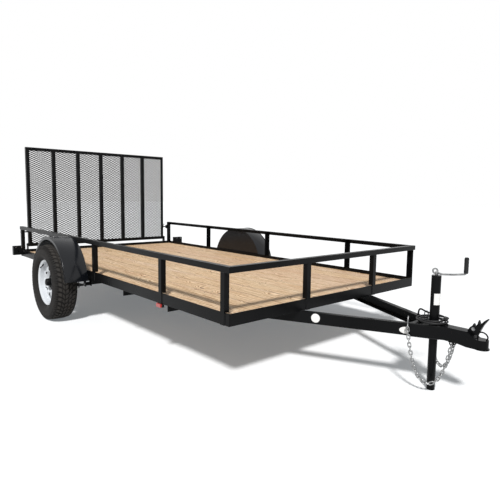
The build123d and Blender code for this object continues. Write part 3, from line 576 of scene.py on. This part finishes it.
# ======== pieces that replace CAD nodes
def smooth_path(points, steps):
    """Points of a smooth line through the given ones."""
    points = [Vector(p) for p in points]
    padded = [2 * points[0] - points[1]] + points + [2 * points[-1] - points[-2]]
    path = []
    for p0, p1, p2, p3 in zip(padded, padded[1:], padded[2:], padded[3:]):
        for k in range(steps):
            t = k / steps
            place = (2 * p1) + (p2 - p0) * t + (2 * p0 - 5 * p1 + 4 * p2 - p3) * t**2
            path.append(0.5 * (place + (3 * p1 - p0 - 3 * p2 + p3) * t**3))
    return path + [points[-1]]


# Half section of the tyre: distance from the middle plane, radius. Millimetres, as in the tables below.
TYRE_PROFILE = (
    (44, 190.4), (56, 190.4), (61.5, 197), (64.2, 208.6), (69, 210.5), (74, 213), (86, 220.5), (94.5, 229),
    (99, 240), (101.6, 252), (102.4, 258), (102.4, 262), (101.4, 264), (101.6, 274), (100.4, 288), (97.6, 302),
    (93.5, 314), (88.5, 324), (79, 329), (62, 332.5), (30, 334.3), (0, 334.8),
)
TYRE_LINING = ((84, 262), (66, 322), (-66, 322), (-84, 262))
TREAD_BLOCKS = 48
TREAD_RADIUS = 344
TREAD_RIBS = (  # inner and outer edge from the middle plane, slant, turn
    (-11.0, 11.0, 0.45, 0.0),
    (18.5, 39.5, 0.5, 0.5),
    (-39.5, -18.5, 0.5, 0.0),
    (47.0, 76.0, 0.3, 0.1),
    (-76.0, -47.0, 0.3, 0.6),
)
BLOCK_RINGS = ((-12.0, 0.0), (-1.6, 0.0), (0.0, 1.3))  # lift over the crown, inset
LUGS = 92
LUG_LINE = ((74, 338.5), (83, 336.0), (90, 327.0), (95.5, 315.0), (98.6, 304.0))
SIDEWALL_RIBS = ((97.6, 238.0, 1.3), (101.6, 270.0, 1.2), (100.6, 284.5, 1.0), (80.5, 217.2, 1.6))
TYRE_STEPS = 120


def make_tyre(side, s):
    centre = wheel_centres[side]
    tyre = Mesh()
    across = Vector((0, s, 0))

    def point(y, radius, turn):
        return centre + across * (y * MM) + wheel_plane(turn) * (radius * MM)

    mirrored = [(-y, r) for y, r in (*reversed(TYRE_PROFILE[:-1]), *TYRE_LINING)]
    section = [*TYRE_PROFILE, *mirrored]
    turns = [2 * math.pi * k / TYRE_STEPS for k in range(TYRE_STEPS)]
    rings = [[point(y, r, turn) for y, r in section] for turn in turns]
    tyre.ring_strip(rings, close_path=True)

    def crown(y):
        return 344.5 - 2.2 * (y / 76) ** 2 - 4.5 * max(0.0, (abs(y) - 60) / 16) ** 2

    tread = Mesh()
    pitch = 2 * math.pi / TREAD_BLOCKS
    width = 0.66 * pitch
    for y0, y1, slant, offset in TREAD_RIBS:
        lean = slant * pitch * (1 if y0 + y1 > 0 else -1)
        for k in range(TREAD_BLOCKS):
            start = (k + offset) * pitch
            rows = []
            for lift, inset in BLOCK_RINGS:
                ring = []
                for y, a, da, dy in ((y0, 0, 1, 1), (y1, 0, 1, -1), (y1, 1, -1, -1), (y0, 1, -1, 1)):
                    turn = start + a * width + da * inset / TREAD_RADIUS + lean * (y - y0) / (y1 - y0)
                    ring.append(point(y + dy * inset, crown(y) + lift, turn))
                rows.append(ring)
            tread.ring_strip(rows)
    # Lugs down the shoulders, every second one longer and wider, and thin ribs round the sidewalls.
    for way in (-1, 1):
        for k in range(LUGS):
            turn = 2 * math.pi * k / LUGS
            half = 0.33 * math.pi / LUGS * (1.9 if k % 2 else 1.4)
            rows = []
            for y, radius in LUG_LINE[: 5 if k % 2 else 4]:
                rows.append(
                    [
                        point(way * (y - 7), radius - 6, turn - half),
                        point(way * (y - 7), radius - 6, turn + half),
                        point(way * (y + 0.9), radius + 0.6, turn + 0.85 * half),
                        point(way * (y + 0.9), radius + 0.6, turn - 0.85 * half),
                    ]
                )
            tyre.ring_strip(rows)
        for y, radius, thick in SIDEWALL_RIBS:
            path = [point(way * y, radius, turn) for turn in turns]
            tyre.tube(path, thick * MM, sides=6, closed=True)
    tyre.build(f"tyre_detail_{side}", tyre_black, f"wheel_{side}", replaces=(f"tyre_{side}",))
    # The tread blocks take the lighter rubber: painted highlight on their tops.
    tread.build(f"tyre_tread_{side}", tread_lit_rubber, f"wheel_{side}")


def hex_nut(mesh, centre, axis, across_flats, height, thread=True):
    """A hexagon nut or bolt head on its washer, standing on centre along axis.

    thread adds the bolt's end that shows in a nut.
    """
    axis = Vector(axis).normalized()
    radius = across_flats / math.sqrt(3)
    mesh.lathe(centre, axis, ((0, 0), (0, radius * 1.28), (0.12 * height, radius * 1.28), (0.12 * height, 0)), 20)
    first = axis.orthogonal().normalized()
    second = axis.cross(first)
    rings = []
    for along, reach in ((0.1, 1.0), (0.88, 1.0), (1.0, 0.9), (1.0, 0.45)):
        ring = []
        for k in range(6):
            aside = around(first, second, math.pi * k / 3) * radius * reach
            ring.append(Vector(centre) + axis * (along * height) + aside)
        rings.append(ring)
    mesh.ring_strip(rings)
    if thread:
        outline = ((0.9, 0), (0.9, 0.52), (1.28, 0.5), (1.34, 0.42), (1.34, 0))
        mesh.lathe(centre, axis, [(along * height, radius * reach) for along, reach in outline], 12)


WHEEL_NUTS = 5
NUT_CIRCLE = 53 * MM
CAP_OUTLINE = (  # distance outboard of the wheel's middle, radius, in metres
    (0.005, 0), (0.005, 0.0395), (0.022, 0.0395), (0.025, 0.0355), (0.062, 0.0335), (0.069, 0.030), (0.0725, 0.024),
    (0.0745, 0.012), (0.075, 0.0),
)
VALVE_OUTLINE = (  # distance along the valve, radius, in metres
    (0, 0), (0, 0.0075), (0.012, 0.007), (0.018, 0.0045), (0.034, 0.0042), (0.034, 0.0052), (0.046, 0.005),
    (0.047, 0.0),
)
VALVE_TURN = 2.2


def make_wheel_trim(side, s):
    centre = wheel_centres[side]
    out = Vector((0, s, 0))
    nuts = Mesh()
    for k in range(WHEEL_NUTS):
        place = centre + out * (6 * MM) + wheel_plane(2 * math.pi * k / WHEEL_NUTS + 0.3) * NUT_CIRCLE
        nuts.lathe(place, out, ((-0.001, 0), (-0.001, 0.0125), (0.003, 0.0118), (0.006, 0.0095), (0.006, 0)), 16)
        hex_nut(nuts, place + out * 0.003, out, 0.0205, 0.019, thread=False)
        nuts.lathe(place, out, ((0.02, 0), (0.02, 0.0095), (0.0245, 0.0075), (0.0265, 0.004), (0.027, 0)), 16)
    nuts.build(f"wheel_nuts_{side}", black, f"wheel_{side}")
    cap = Mesh()
    cap.lathe(centre, out, CAP_OUTLINE, 40)
    cap.build(f"wheel_cap_{side}", black, f"wheel_{side}")
    valve = Mesh()
    radial = wheel_plane(VALVE_TURN)
    start = centre + radial * 0.176 + out * 0.062
    lean = (out - radial * 0.9).normalized()
    valve.lathe(start - lean * 0.012, lean, VALVE_OUTLINE, 12)
    valve.build(f"wheel_valve_{side}", cable_black, f"wheel_{side}")


MESH_COLUMNS = 36
MESH_ROWS = 50
STRAND = 0.0072
HALF_BOND = 0.0032
STRAND_TILT = 0.0006


def make_gate_mesh():
    """Expanded metal: zigzag strands joined at short bonds."""
    lowest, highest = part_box("gate_mesh")
    cell = (highest.y - lowest.y) / MESH_COLUMNS
    step = (highest.z - lowest.z) / (2 * MESH_ROWS)
    sheet = Mesh()
    for row in range(2 * MESH_ROWS):
        base = lowest.z + row * step
        path = []
        for i in range(2 * MESH_COLUMNS + 1):
            up = (i + row) % 2
            y = lowest.y + i * cell / 2
            z = base + step - 0.42 * STRAND if up else base + 0.42 * STRAND
            for shift in (-HALF_BOND, HALF_BOND):
                if lowest.y <= y + shift <= highest.y:
                    path.append((y + shift, z, up))
            if i in (0, 2 * MESH_COLUMNS):
                path.insert(0 if i == 0 else len(path), (y, z, up))
        rings = []
        for y, z, up in path:
            x0 = lowest.x + (STRAND_TILT if up else 0.0)
            x1 = highest.x - (0.0 if up else STRAND_TILT)
            rings.append(
                [
                    Vector((x0, y, z - STRAND / 2)),
                    Vector((x1, y, z - STRAND / 2 + STRAND_TILT)),
                    Vector((x1, y, z + STRAND / 2)),
                    Vector((x0, y, z + STRAND / 2 - STRAND_TILT)),
                ]
            )
        sheet.ring_strip(rings)
    sheet.build("gate_mesh_detail", mesh_black, "gate", smooth=False, replaces=("gate_mesh",))


# Chains, in millimetres.
LINK_LENGTH = 38.0
LINK_WIDTH = 24.0
LINK_WIRE = 6.5
LINK_PITCH = 24.2
HOOK_BACK = 254  # behind the beams' apex
HOOK_LINE = (  # outboard of the beam's outer face, above the beam
    (28.5, -5.0), (28.5, -13.0), (26.5, -19.5), (20.0, -22.3), (13.5, -19.5), (9.5, -11.0), (6.0, -2.0), (5.5, 10.0),
    (5.0, 26.0), (1.5, 36.0), (-7.0, 40.5), (-15.5, 38.5), (-21.0, 31.0), (-22.0, 20.0), (-21.5, 4.0),
)
CHAIN_SAG = {"right": 47.2, "left": 55.6}


def hanging_points(start, end, sag):
    """Places where the links of a hanging chain join, in millimetres."""
    span = math.hypot(end.x - start.x, end.y - start.y)
    lift = (end.z - start.z) / (2 * sag * math.sinh(span / (2 * sag)))
    lowest = span / 2 - sag * math.asinh(lift)
    first = sag * math.sinh(-lowest / sag)
    last = sag * math.sinh((span - lowest) / sag)
    count = 2 * round((last - first) / LINK_PITCH / 2)
    points = []
    for i in range(count + 1):
        place = lowest + sag * math.asinh((first + (last - first) * i / count) / sag)
        here = start + (end - start) * (place / span)
        here.z = start.z + sag * (math.cosh((place - lowest) / sag) - math.cosh(lowest / sag))
        points.append(here)
    return points


def make_chain(side, s):
    foot = Vector((apex_x * 1000 - HOOK_BACK, s * HOOK_BACK * math.tan(beam_angle), frame_bottom * 1000))
    outward = Vector((math.sin(beam_angle), s * math.cos(beam_angle), 0))
    reach = (LINK_LENGTH - LINK_WIRE - LINK_PITCH) / 2
    start = foot + outward * 20 + Vector((0, 0, -15 - reach))
    end = Vector((apex_x * 1000 - 25, s * 16, beam_bottom * 1000 - 14 - 2.7 - reach))
    points = hanging_points(start, end, CHAIN_SAG[side])
    sideways = Vector((start.y - end.y, end.x - start.x, 0)).normalized()
    chain = Mesh()
    bend = (LINK_WIDTH - LINK_WIRE) / 2
    straight = (LINK_LENGTH - LINK_WIRE) / 2 - bend
    for i, (here, there) in enumerate(zip(points, points[1:])):
        along = (there - here).normalized()
        normal = along.cross(sideways) if i % 2 else sideways
        across = normal.cross(along)
        path = []
        for end_way in (1, -1):
            for k in range(9):
                turn = math.pi * (k / 8 - 0.5)
                ahead = end_way * (straight + bend * math.cos(turn))
                path.append((here + there) / 2 + along * ahead + across * (end_way * bend * math.sin(turn)))
        chain.tube([p * MM for p in path], LINK_WIRE / 2 * MM, sides=10, closed=True)
    hook = [(foot + outward * u + Vector((0, 0, w))) * MM for u, w in HOOK_LINE]
    hook = smooth_path(hook, 4)
    thick = [3.6 * MM] * len(hook)
    for k, size in ((0, 2.2), (1, 3.1), (-1, 2.4), (-2, 3.2)):
        thick[k] = size * MM
    chain.tube(hook, thick, sides=12)
    chain.build(f"chain_detail_{side}", plated, "frame", replaces=(f"chain_{side}",))


# ---- harness
CORD = 11.0 * MM
COIL_X = apex_x - 160 * MM
CORD_EXIT = Vector((apex_x - 323 * MM, 130 * MM, frame_bottom))
LEAD = (  # ahead of the exit, to its left, above the beam
    (0, 0, 0), (0, 0, 19), (8, -6, 37), (22, -16, 46), (41, -27, 47), (66, -38, 42), (96, -45, 39.1),
    (127, -48.5, 39.1), (157, -49, 39.1),
)
COIL = (  # turns from the lead's end, distance from the coil's middle, height above the beam
    (0.0, 81.2, 39.1), (0.12, 78.0, 36.8), (0.25, 76.2, 33.5), (0.5, 74.0, 28.6), (0.8, 74.0, 19.5),
    (1.0, 74.0, 16.9), (1.5, 81.0, 16.8), (2.0, 88.0, 17.2), (2.5, 93.5, 23.5), (2.8, 93.5, 26.5),
    (3.0, 92.0, 28.0), (3.12, 91.0, 36.0), (3.235, 86.5, 43.8),
)
COIL_POINTS = 45
COIL_START = math.radians(94)


def make_harness():
    points = [CORD_EXIT + Vector(place) * MM for place in LEAD]
    for i in range(1, COIL_POINTS + 1):
        turns = COIL[-1][0] * i / COIL_POINTS
        for (t0, r0, z0), (t1, r1, z1) in zip(COIL, COIL[1:]):
            if turns <= t1 + 1e-9:
                share = (turns - t0) / (t1 - t0)
                break
        turn = COIL_START - 2 * math.pi * turns
        radius = r0 + (r1 - r0) * share
        height = z0 + (z1 - z0) * share
        x = COIL_X + radius * MM * math.cos(turn)
        points.append(Vector((x, radius * MM * math.sin(turn), frame_bottom + height * MM)))
    data = bpy.data.curves.new("harness_cord", "CURVE")
    data.dimensions = "3D"
    data.bevel_depth = CORD / 2
    data.bevel_resolution = 4
    data.resolution_u = 8
    spline = data.splines.new("NURBS")
    spline.points.add(len(points) - 1)
    for point, place in zip(spline.points, points):
        point.co = (*place, 1)
    spline.order_u = 3
    spline.use_endpoint_u = True
    data.materials.append(cable_black)
    cord = bpy.data.objects.new("harness_cord", data)
    bpy.context.collection.objects.link(cord)
    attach(cord, "frame")
    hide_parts("harness_coil", "harness_lead")

    # The plug: a strain relief on the cord, a moulded ribbed body and its row of one pin and three sockets.
    lowest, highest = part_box("harness_plug")
    end = points[-1]
    plug = Mesh()
    back = Vector((0, -1, 0))
    relief = ((-0.014, 0.0), (-0.014, 0.0062), (-0.001, 0.0076), (0.003, 0.0092), (0.006, 0.0092), (0.006, 0.0))
    plug.lathe(end, back, relief, 16)
    top = Vector((highest.x, end.y - 0.004, highest.z - 0.002))
    bottom = Vector((lowest.x, lowest.y + 0.012, lowest.z + 0.002))
    plug.box(bottom, top, 0.003)
    for k in range(3):
        y = bottom.y + (0.25 + 0.25 * k) * (top.y - bottom.y)
        near = (bottom.x - 0.0007, y - 0.0012, bottom.z + 0.003)
        plug.box(near, (top.x + 0.0007, y + 0.0012, top.z - 0.003), 0.0005)
    row = [
        Vector((bottom.x + (0.14 + 0.24 * k) * (top.x - bottom.x), bottom.y, (top.z + bottom.z) / 2)) for k in range(4)
    ]
    socket = ((-0.002, 0), (-0.002, 0.0028), (0.0115, 0.0025), (0.012, 0.0012), (0.006, 0.0011), (0.006, 0))
    for place in row[1:]:
        plug.lathe(place, back, socket, 12)
    body = plug.build("plug_detail", cable_black, "frame", replaces=("harness_plug",))
    pins = Mesh()
    pins.lathe(row[0], back, ((-0.002, 0), (-0.002, 0.0015), (0.009, 0.0015), (0.0105, 0.0008), (0.0108, 0)), 12)
    pin = pins.build("plug_pin", plated, "frame")


for side, s in SIDES:
    make_tyre(side, s)
    make_wheel_trim(side, s)
    make_chain(side, s)
make_gate_mesh()
make_harness()


# ======== added details
LABELS = (  # name, distance back from the apex, height, half length, half height
    ("label_round", 0.858, 0.375, 0.0295, 0.0295),
    ("label_oval", 0.286, 0.3655, 0.043, 0.0215),
)
JACK_FILM = ((0.0285, 0.531), (0.029, 0.531), (0.029, 0.600), (0.0285, 0.600))  # radius, height


def make_labels():
    """Blank film where the labels are."""
    right_out = Vector((math.sin(beam_angle), -math.cos(beam_angle), 0))
    along = Vector((math.cos(beam_angle), math.sin(beam_angle), 0))
    for name, back, height, half_long, half_high in LABELS:
        middle = Vector((apex_x, 0, height)) - along * back
        middle += right_out * 0.0001
        film = Mesh()
        rings = []
        for lift, inset in ((0.0, 0.0), (0.0004, 0.0), (0.0006, 0.001)):
            ring = []
            for k in range(40):
                turn = 2 * math.pi * k / 40
                ring.append(
                    middle
                    + right_out * lift
                    + along * ((half_long - inset) * math.cos(turn))
                    + Vector((0, 0, (half_high - inset) * math.sin(turn)))
                )
            rings.append(ring)
        film.ring_strip(rings)
        film.build(name, blank_label, "frame")
    film = Mesh()
    rings = []
    foot = Vector((jack_axis.x, jack_axis.y, 0))
    for k in range(13):
        turn = math.radians(-78 + 95 * k / 12)
        reach = Vector((math.cos(turn), math.sin(turn), 0))
        rings.append([foot + reach * radius + Vector((0, 0, z)) for radius, z in JACK_FILM])
    film.ring_strip(rings)
    film.build("label_jack", blank_label, "frame")


def weld(mesh, start, end, radius=0.0035):
    """A rippled bead between two points."""
    start = Vector(start)
    end = Vector(end)
    length = (end - start).length
    count = max(4, int(length / 0.0045))
    path = [start + (end - start) * (k / count) for k in range(count + 1)]
    radii = [radius * (0.82 + 0.3 * (k % 2) + 0.12 * random.random()) for k in range(count + 1)]
    radii[0] = radii[-1] = radius * 0.5
    mesh.tube(path, radii, sides=6)


SIDE_POSTS = {"right": (0.051, 0.752, 1.867, 2.931), "left": (0.013, 0.678, 1.806, 2.931)}
FRONT_POSTS = (-0.333, 0.430)
COUPLER_ENDS = (0.246, 0.088)  # behind the beams' apex
TAB_REACH = 0.3


def make_welds():
    beads = Mesh()
    frame_x = high("front_frame").x
    for side, s in SIDES:
        y = s * frame_face
        for place in SIDE_POSTS[side]:
            x1 = bed_front - place
            for x in (x1, x1 - POST_WIDTH):
                weld(beads, (x, y, frame_bottom + 0.004), (x, y, frame_top - 0.004), 0.003)
            seam = (s * (frame_face + 0.005), rail_top - POST_WIDTH)
            weld(beads, (x1 - 0.036, *seam), (x1 - 0.002, *seam), 0.003)
        # Beam to frame, coupler to beam.
        x = frame_x + 0.001
        out = (apex_x - frame_x) * math.tan(beam_angle)
        weld(beads, (x, s * (out - 0.040), frame_bottom), (x, s * out, frame_bottom), 0.004)
        for height in (beam_bottom + 0.001, frame_bottom + 0.002):
            start, end = (
                (apex_x - back, s * (back * math.tan(beam_angle) + 0.0035), height) for back in COUPLER_ENDS
            )
            weld(beads, start, end, 0.0035)
        x0 = apex_x - 0.248
        weld(beads, (x0, s * 0.118, beam_bottom + 0.004), (x0, s * 0.118, frame_bottom - 0.002), 0.0035)
        # Fender tabs and light brackets.
        y = s * (frame_face + 0.001)
        for x in (axle_x - TAB_REACH, axle_x + TAB_REACH):
            weld(beads, (x - 0.024, y, frame_top - 0.008), (x + 0.024, y, frame_top - 0.008), 0.003)
        x = bed_front - BRACKET_PLACE
        weld(beads, (x, y, 0.443), (x, y, frame_top - 0.003), 0.003)
    for middle in FRONT_POSTS:
        for edge in (-1, 1):
            y = middle + edge * POST_WIDTH / 2
            weld(beads, (frame_x, y, frame_bottom + 0.004), (frame_x, y, frame_top - 0.004), 0.003)
    ring = []
    for k in range(48):
        turn = 2 * math.pi * k / 48
        ring.append(Vector((jack_axis.x + 0.0295 * math.cos(turn), 0.0295 * math.sin(turn), frame_bottom + 0.0115)))
    beads.tube(ring, [0.0035 * (0.85 + 0.3 * (k % 2)) for k in range(48)], sides=6, closed=True)
    beads.build("weld_beads", weld_black, "frame")


BOARD_GAP = 0.003
CROSSMEMBERS = (0.69, 1.35, 1.95, 2.85, 3.4)  # behind the bed's front
SCREW_OUTLINE = ((-0.001, 0), (-0.001, 0.0056), (0.0004, 0.0052), (0.0007, 0.0044), (0.0001, 0.002), (0.0001, 0))


def make_fasteners():
    bolts = Mesh()
    plate = frame_bottom + 0.011
    for x, y in ((-0.052, -0.040), (-0.052, 0.040), (0.048, 0.0)):
        hex_nut(bolts, (jack_axis.x + x, y, plate), (0, 0, 1), 0.016, 0.009)
    # Latch pivot and its nut.
    pivot = Vector((apex_x + 0.092, 0, frame_bottom + 0.023))
    hex_nut(bolts, pivot + Vector((0, -0.011, 0)), (0, -1, 0), 0.014, 0.008, thread=False)
    hex_nut(bolts, pivot + Vector((0, 0.011, 0)), (0, 1, 0), 0.014, 0.008)
    for side, s in SIDES:
        lowest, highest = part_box(f"spring_clamp_{side}")
        middle = (lowest.y + highest.y) / 2
        under = lowest.z + 0.018
        for way in (-1, 1):
            for edge in (-1, 1):
                place = (axle_x + way * 0.0353, middle + edge * 0.0295, under)
                hex_nut(bolts, place, (0, 0, -1), 0.0165, 0.010, thread=False)
            for edge in (-1, 1):
                place = (axle_x + way * 0.320, middle + edge * 0.028, 0.350)
                hex_nut(bolts, place, (0, edge, 0), 0.019, 0.0085, thread=False)
        # The tail light's screws, on the front of its bracket.
        for y in (0.042, 0.102):
            place = (bed_front - BRACKET_PLACE, s * (frame_face + y), 0.530)
            hex_nut(bolts, place, (1, 0, 0), 0.008, 0.004, thread=False)
    bolts.build("bolts", plated, "frame")
    screws = Mesh()
    lowest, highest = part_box("deck_boards")
    pitch = (highest.y - lowest.y + BOARD_GAP) / DECK_BOARDS
    rows = [highest.x - 0.02, lowest.x + 0.02] + [bed_front - place - 0.0255 for place in CROSSMEMBERS]
    for x in rows:
        for i in range(DECK_BOARDS):
            for edge in (-1, 1):
                y = lowest.y + (i + 0.5) * pitch - BOARD_GAP / 2 + edge * 0.058 + random.uniform(-0.003, 0.003)
                place = (x + random.uniform(-0.003, 0.003), y, deck_top)
                screws.lathe(place, (0, 0, 1), SCREW_OUTLINE, 10)
    screws.build("deck_screws", black, "frame")


def make_fender_beads():
    """Rolled outer edge and the pressed bead near it."""
    for side, s in SIDES:
        lowest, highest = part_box(f"fender_{side}")
        face = highest.y if s > 0 else lowest.y
        centre = Vector((axle_x, 0, wheel_centres[side].z - 0.010))
        bottom = lowest.z
        edge = Mesh()
        for radius, y, thick in ((0.4045, face - s * 0.0035, 0.0042), (0.4252, face - s * 0.0028, 0.0028)):
            reach = math.asin((bottom + thick - centre.z) / radius)
            path = []
            for k in range(73):
                turn = reach + (math.pi - 2 * reach) * k / 72
                path.append(Vector((centre.x + radius * math.cos(turn), y, centre.z + radius * math.sin(turn))))
            edge.tube(path, thick, sides=10)
        edge.build(f"fender_edge_{side}", fender_black, "frame")


BEZEL_INSET = 0.014


def make_lamp_details():
    """A round bezel on each tail light and a base behind each marker light."""
    base = Mesh()
    for side, s in SIDES:
        lowest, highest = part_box(f"tail_light_{side}")
        x = lowest.x + 0.002
        y0, y1 = lowest.y + BEZEL_INSET, highest.y - BEZEL_INSET
        z0, z1 = lowest.z + BEZEL_INSET, highest.z - BEZEL_INSET
        loop = []
        for y, z, start in ((y1, z1, 0), (y0, z1, 90), (y0, z0, 180), (y1, z0, 270)):
            for k in range(7):
                turn = math.radians(start + 15 * k)
                loop.append(Vector((x, y + 0.011 * math.cos(turn), z + 0.011 * math.sin(turn))))
        base.tube(loop, 0.003, sides=8, closed=True)
        lowest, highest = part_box(f"marker_light_{side}")
        face = highest.y if s > 0 else lowest.y
        inner = face - s * 0.012
        y0, y1 = sorted((face - s * 0.0315, inner))
        base.box((lowest.x - 0.002, y0, lowest.z - 0.0015), (highest.x + 0.002, y1, highest.z - 0.0005), 0.002)
    base.build("lamp_bezels", cable_black, "frame")


GRIP_RINGS = 10


def make_grip_rings():
    """The crank's grip, with moulded rings."""
    lowest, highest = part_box("crank_grip")
    x = (lowest.x + highest.x) / 2
    radius = (highest.x - lowest.x) / 2
    grip = Mesh()
    outline = [(0.0, 0.0), (0.0, radius - 0.006), (0.001, radius - 0.0015)]
    length = highest.z - lowest.z
    for k in range(GRIP_RINGS):
        start = 0.006 + (length - 0.012) * k / GRIP_RINGS
        for along, proud in ((0.0, -0.0016), (0.0025, 0.0002), (0.0055, 0.0002), (0.0075, -0.0016)):
            outline.append((start + along, radius + proud))
    outline += [(length - 0.003, radius - 0.001), (length, radius - 0.005), (length + 0.0003, 0.0)]
    grip.lathe((x, (lowest.y + highest.y) / 2, lowest.z), (0, 0, 1), outline, 28)
    grip.build("grip_detail", cable_black, "crank", replaces=("crank_grip",))


LATCH_HEIGHT = 0.690
LATCH_HANDLE = (  # distance from the middle plane, height over the pin
    (0.9345, 0), (0.9345, 0.018), (0.9375, 0.030), (0.9440, 0.036), (0.9560, 0.0365),
)
NOSE_LOOP = (  # ahead of the bed's front, height
    (0.979, 0.376), (0.979, 0.395), (0.982, 0.410), (0.988, 0.4185), (1.000, 0.4215), (1.014, 0.4195),
    (1.027, 0.411), (1.0335, 0.399), (1.031, 0.387), (1.026, 0.377),
)


def make_latch_details():
    """Springs and pull handles on the gate's latch pins, and the loop on the coupler's nose."""
    wires = Mesh()
    x = bed_rear - 0.025
    z = LATCH_HEIGHT
    for s in (-1, 1):
        path = []
        for k in range(73):
            turn = 2 * math.pi * k / 12
            y = s * (0.9875 + 0.0145 * k / 72)
            path.append(Vector((x + 0.0098 * math.cos(turn), y, z + 0.0098 * math.sin(turn))))
        wires.tube(path, 0.0012, sides=6)
        wires.lathe((x, s * 1.0025, z), (0, s, 0), ((0, 0), (0, 0.0125), (0.0022, 0.0125), (0.0022, 0)), 18)
        wires.tube(smooth_path([(x, s * out, z + up) for out, up in LATCH_HANDLE], 4), 0.0045, sides=8)
    wires.build("latch_springs", plated, "frame")
    loop = Mesh()
    loop.tube(smooth_path([(bed_front + ahead, 0, up) for ahead, up in NOSE_LOOP], 4), 0.0042, sides=10)
    loop.build("nose_loop", black, "frame")


make_labels()
make_welds()
make_fasteners()
make_fender_beads()
make_lamp_details()
make_grip_rings()
make_latch_details()


# ======== stage and light
SUN_TRAVEL = (-0.73, 0.71, -1.0)
SUN_STRENGTH = 4.2
SUN_ANGLE = math.radians(7)
AMBIENT = 0.22
FLOOR_COLOUR = 0.8
FLOOR_GLOW = (0.165, 0.178, 0.188)  # brings the shadow to the photo's grey, for the white rays only
FLOOR_HALF = 60.0
FLOOR_HEIGHT = -0.0005


def white_rays(nodes, links):
    """1 where a camera, glossy or transmission ray looks, otherwise 0."""
    path = nodes.new("ShaderNodeLightPath")
    level = path.outputs["Is Camera Ray"]
    for kind in ("Is Glossy Ray", "Is Transmission Ray"):
        either = nodes.new("ShaderNodeMath")
        either.operation = "MAXIMUM"
        links.new(level, either.inputs[0])
        links.new(path.outputs[kind], either.inputs[1])
        level = either.outputs["Value"]
    return level


def make_world():
    world = bpy.data.worlds.new("studio")
    world.use_nodes = True
    nodes = world.node_tree.nodes
    links = world.node_tree.links
    background = nodes["Background"]
    background.inputs["Color"].default_value = (1, 1, 1, 1)
    strength = nodes.new("ShaderNodeMapRange")
    strength.inputs["To Min"].default_value = AMBIENT
    strength.inputs["To Max"].default_value = 1.0
    links.new(white_rays(nodes, links), strength.inputs["Value"])
    links.new(strength.outputs["Result"], background.inputs["Strength"])
    bpy.context.scene.world = world


def make_floor():
    material = bpy.data.materials.new("floor")
    material.use_nodes = True
    nodes = material.node_tree.nodes
    links = material.node_tree.links
    nodes.remove(nodes["Principled BSDF"])
    matte = nodes.new("ShaderNodeBsdfDiffuse")
    matte.inputs["Color"].default_value = (FLOOR_COLOUR, FLOOR_COLOUR, FLOOR_COLOUR, 1)
    glow = nodes.new("ShaderNodeEmission")
    glow.inputs["Color"].default_value = (*FLOOR_GLOW, 1)
    links.new(white_rays(nodes, links), glow.inputs["Strength"])
    both = nodes.new("ShaderNodeAddShader")
    links.new(matte.outputs["BSDF"], both.inputs[0])
    links.new(glow.outputs["Emission"], both.inputs[1])
    links.new(both.outputs["Shader"], nodes["Material Output"].inputs["Surface"])
    mesh = bpy.data.meshes.new("floor")
    corners = [(x * FLOOR_HALF, y * FLOOR_HALF, FLOOR_HEIGHT) for x, y in ((-1, -1), (1, -1), (1, 1), (-1, 1))]
    mesh.from_pydata(corners, [], [(0, 1, 2, 3)])
    add_object("floor", mesh, material)


def make_sun():
    data = bpy.data.lights.new("key", "SUN")
    data.energy = SUN_STRENGTH
    data.angle = SUN_ANGLE
    sun = bpy.data.objects.new("key", data)
    sun.rotation_euler = Vector(SUN_TRAVEL).to_track_quat("-Z", "Y").to_euler()
    bpy.context.collection.objects.link(sun)


make_world()
make_floor()
make_sun()
bpy.context.scene.view_settings.view_transform = "Standard"
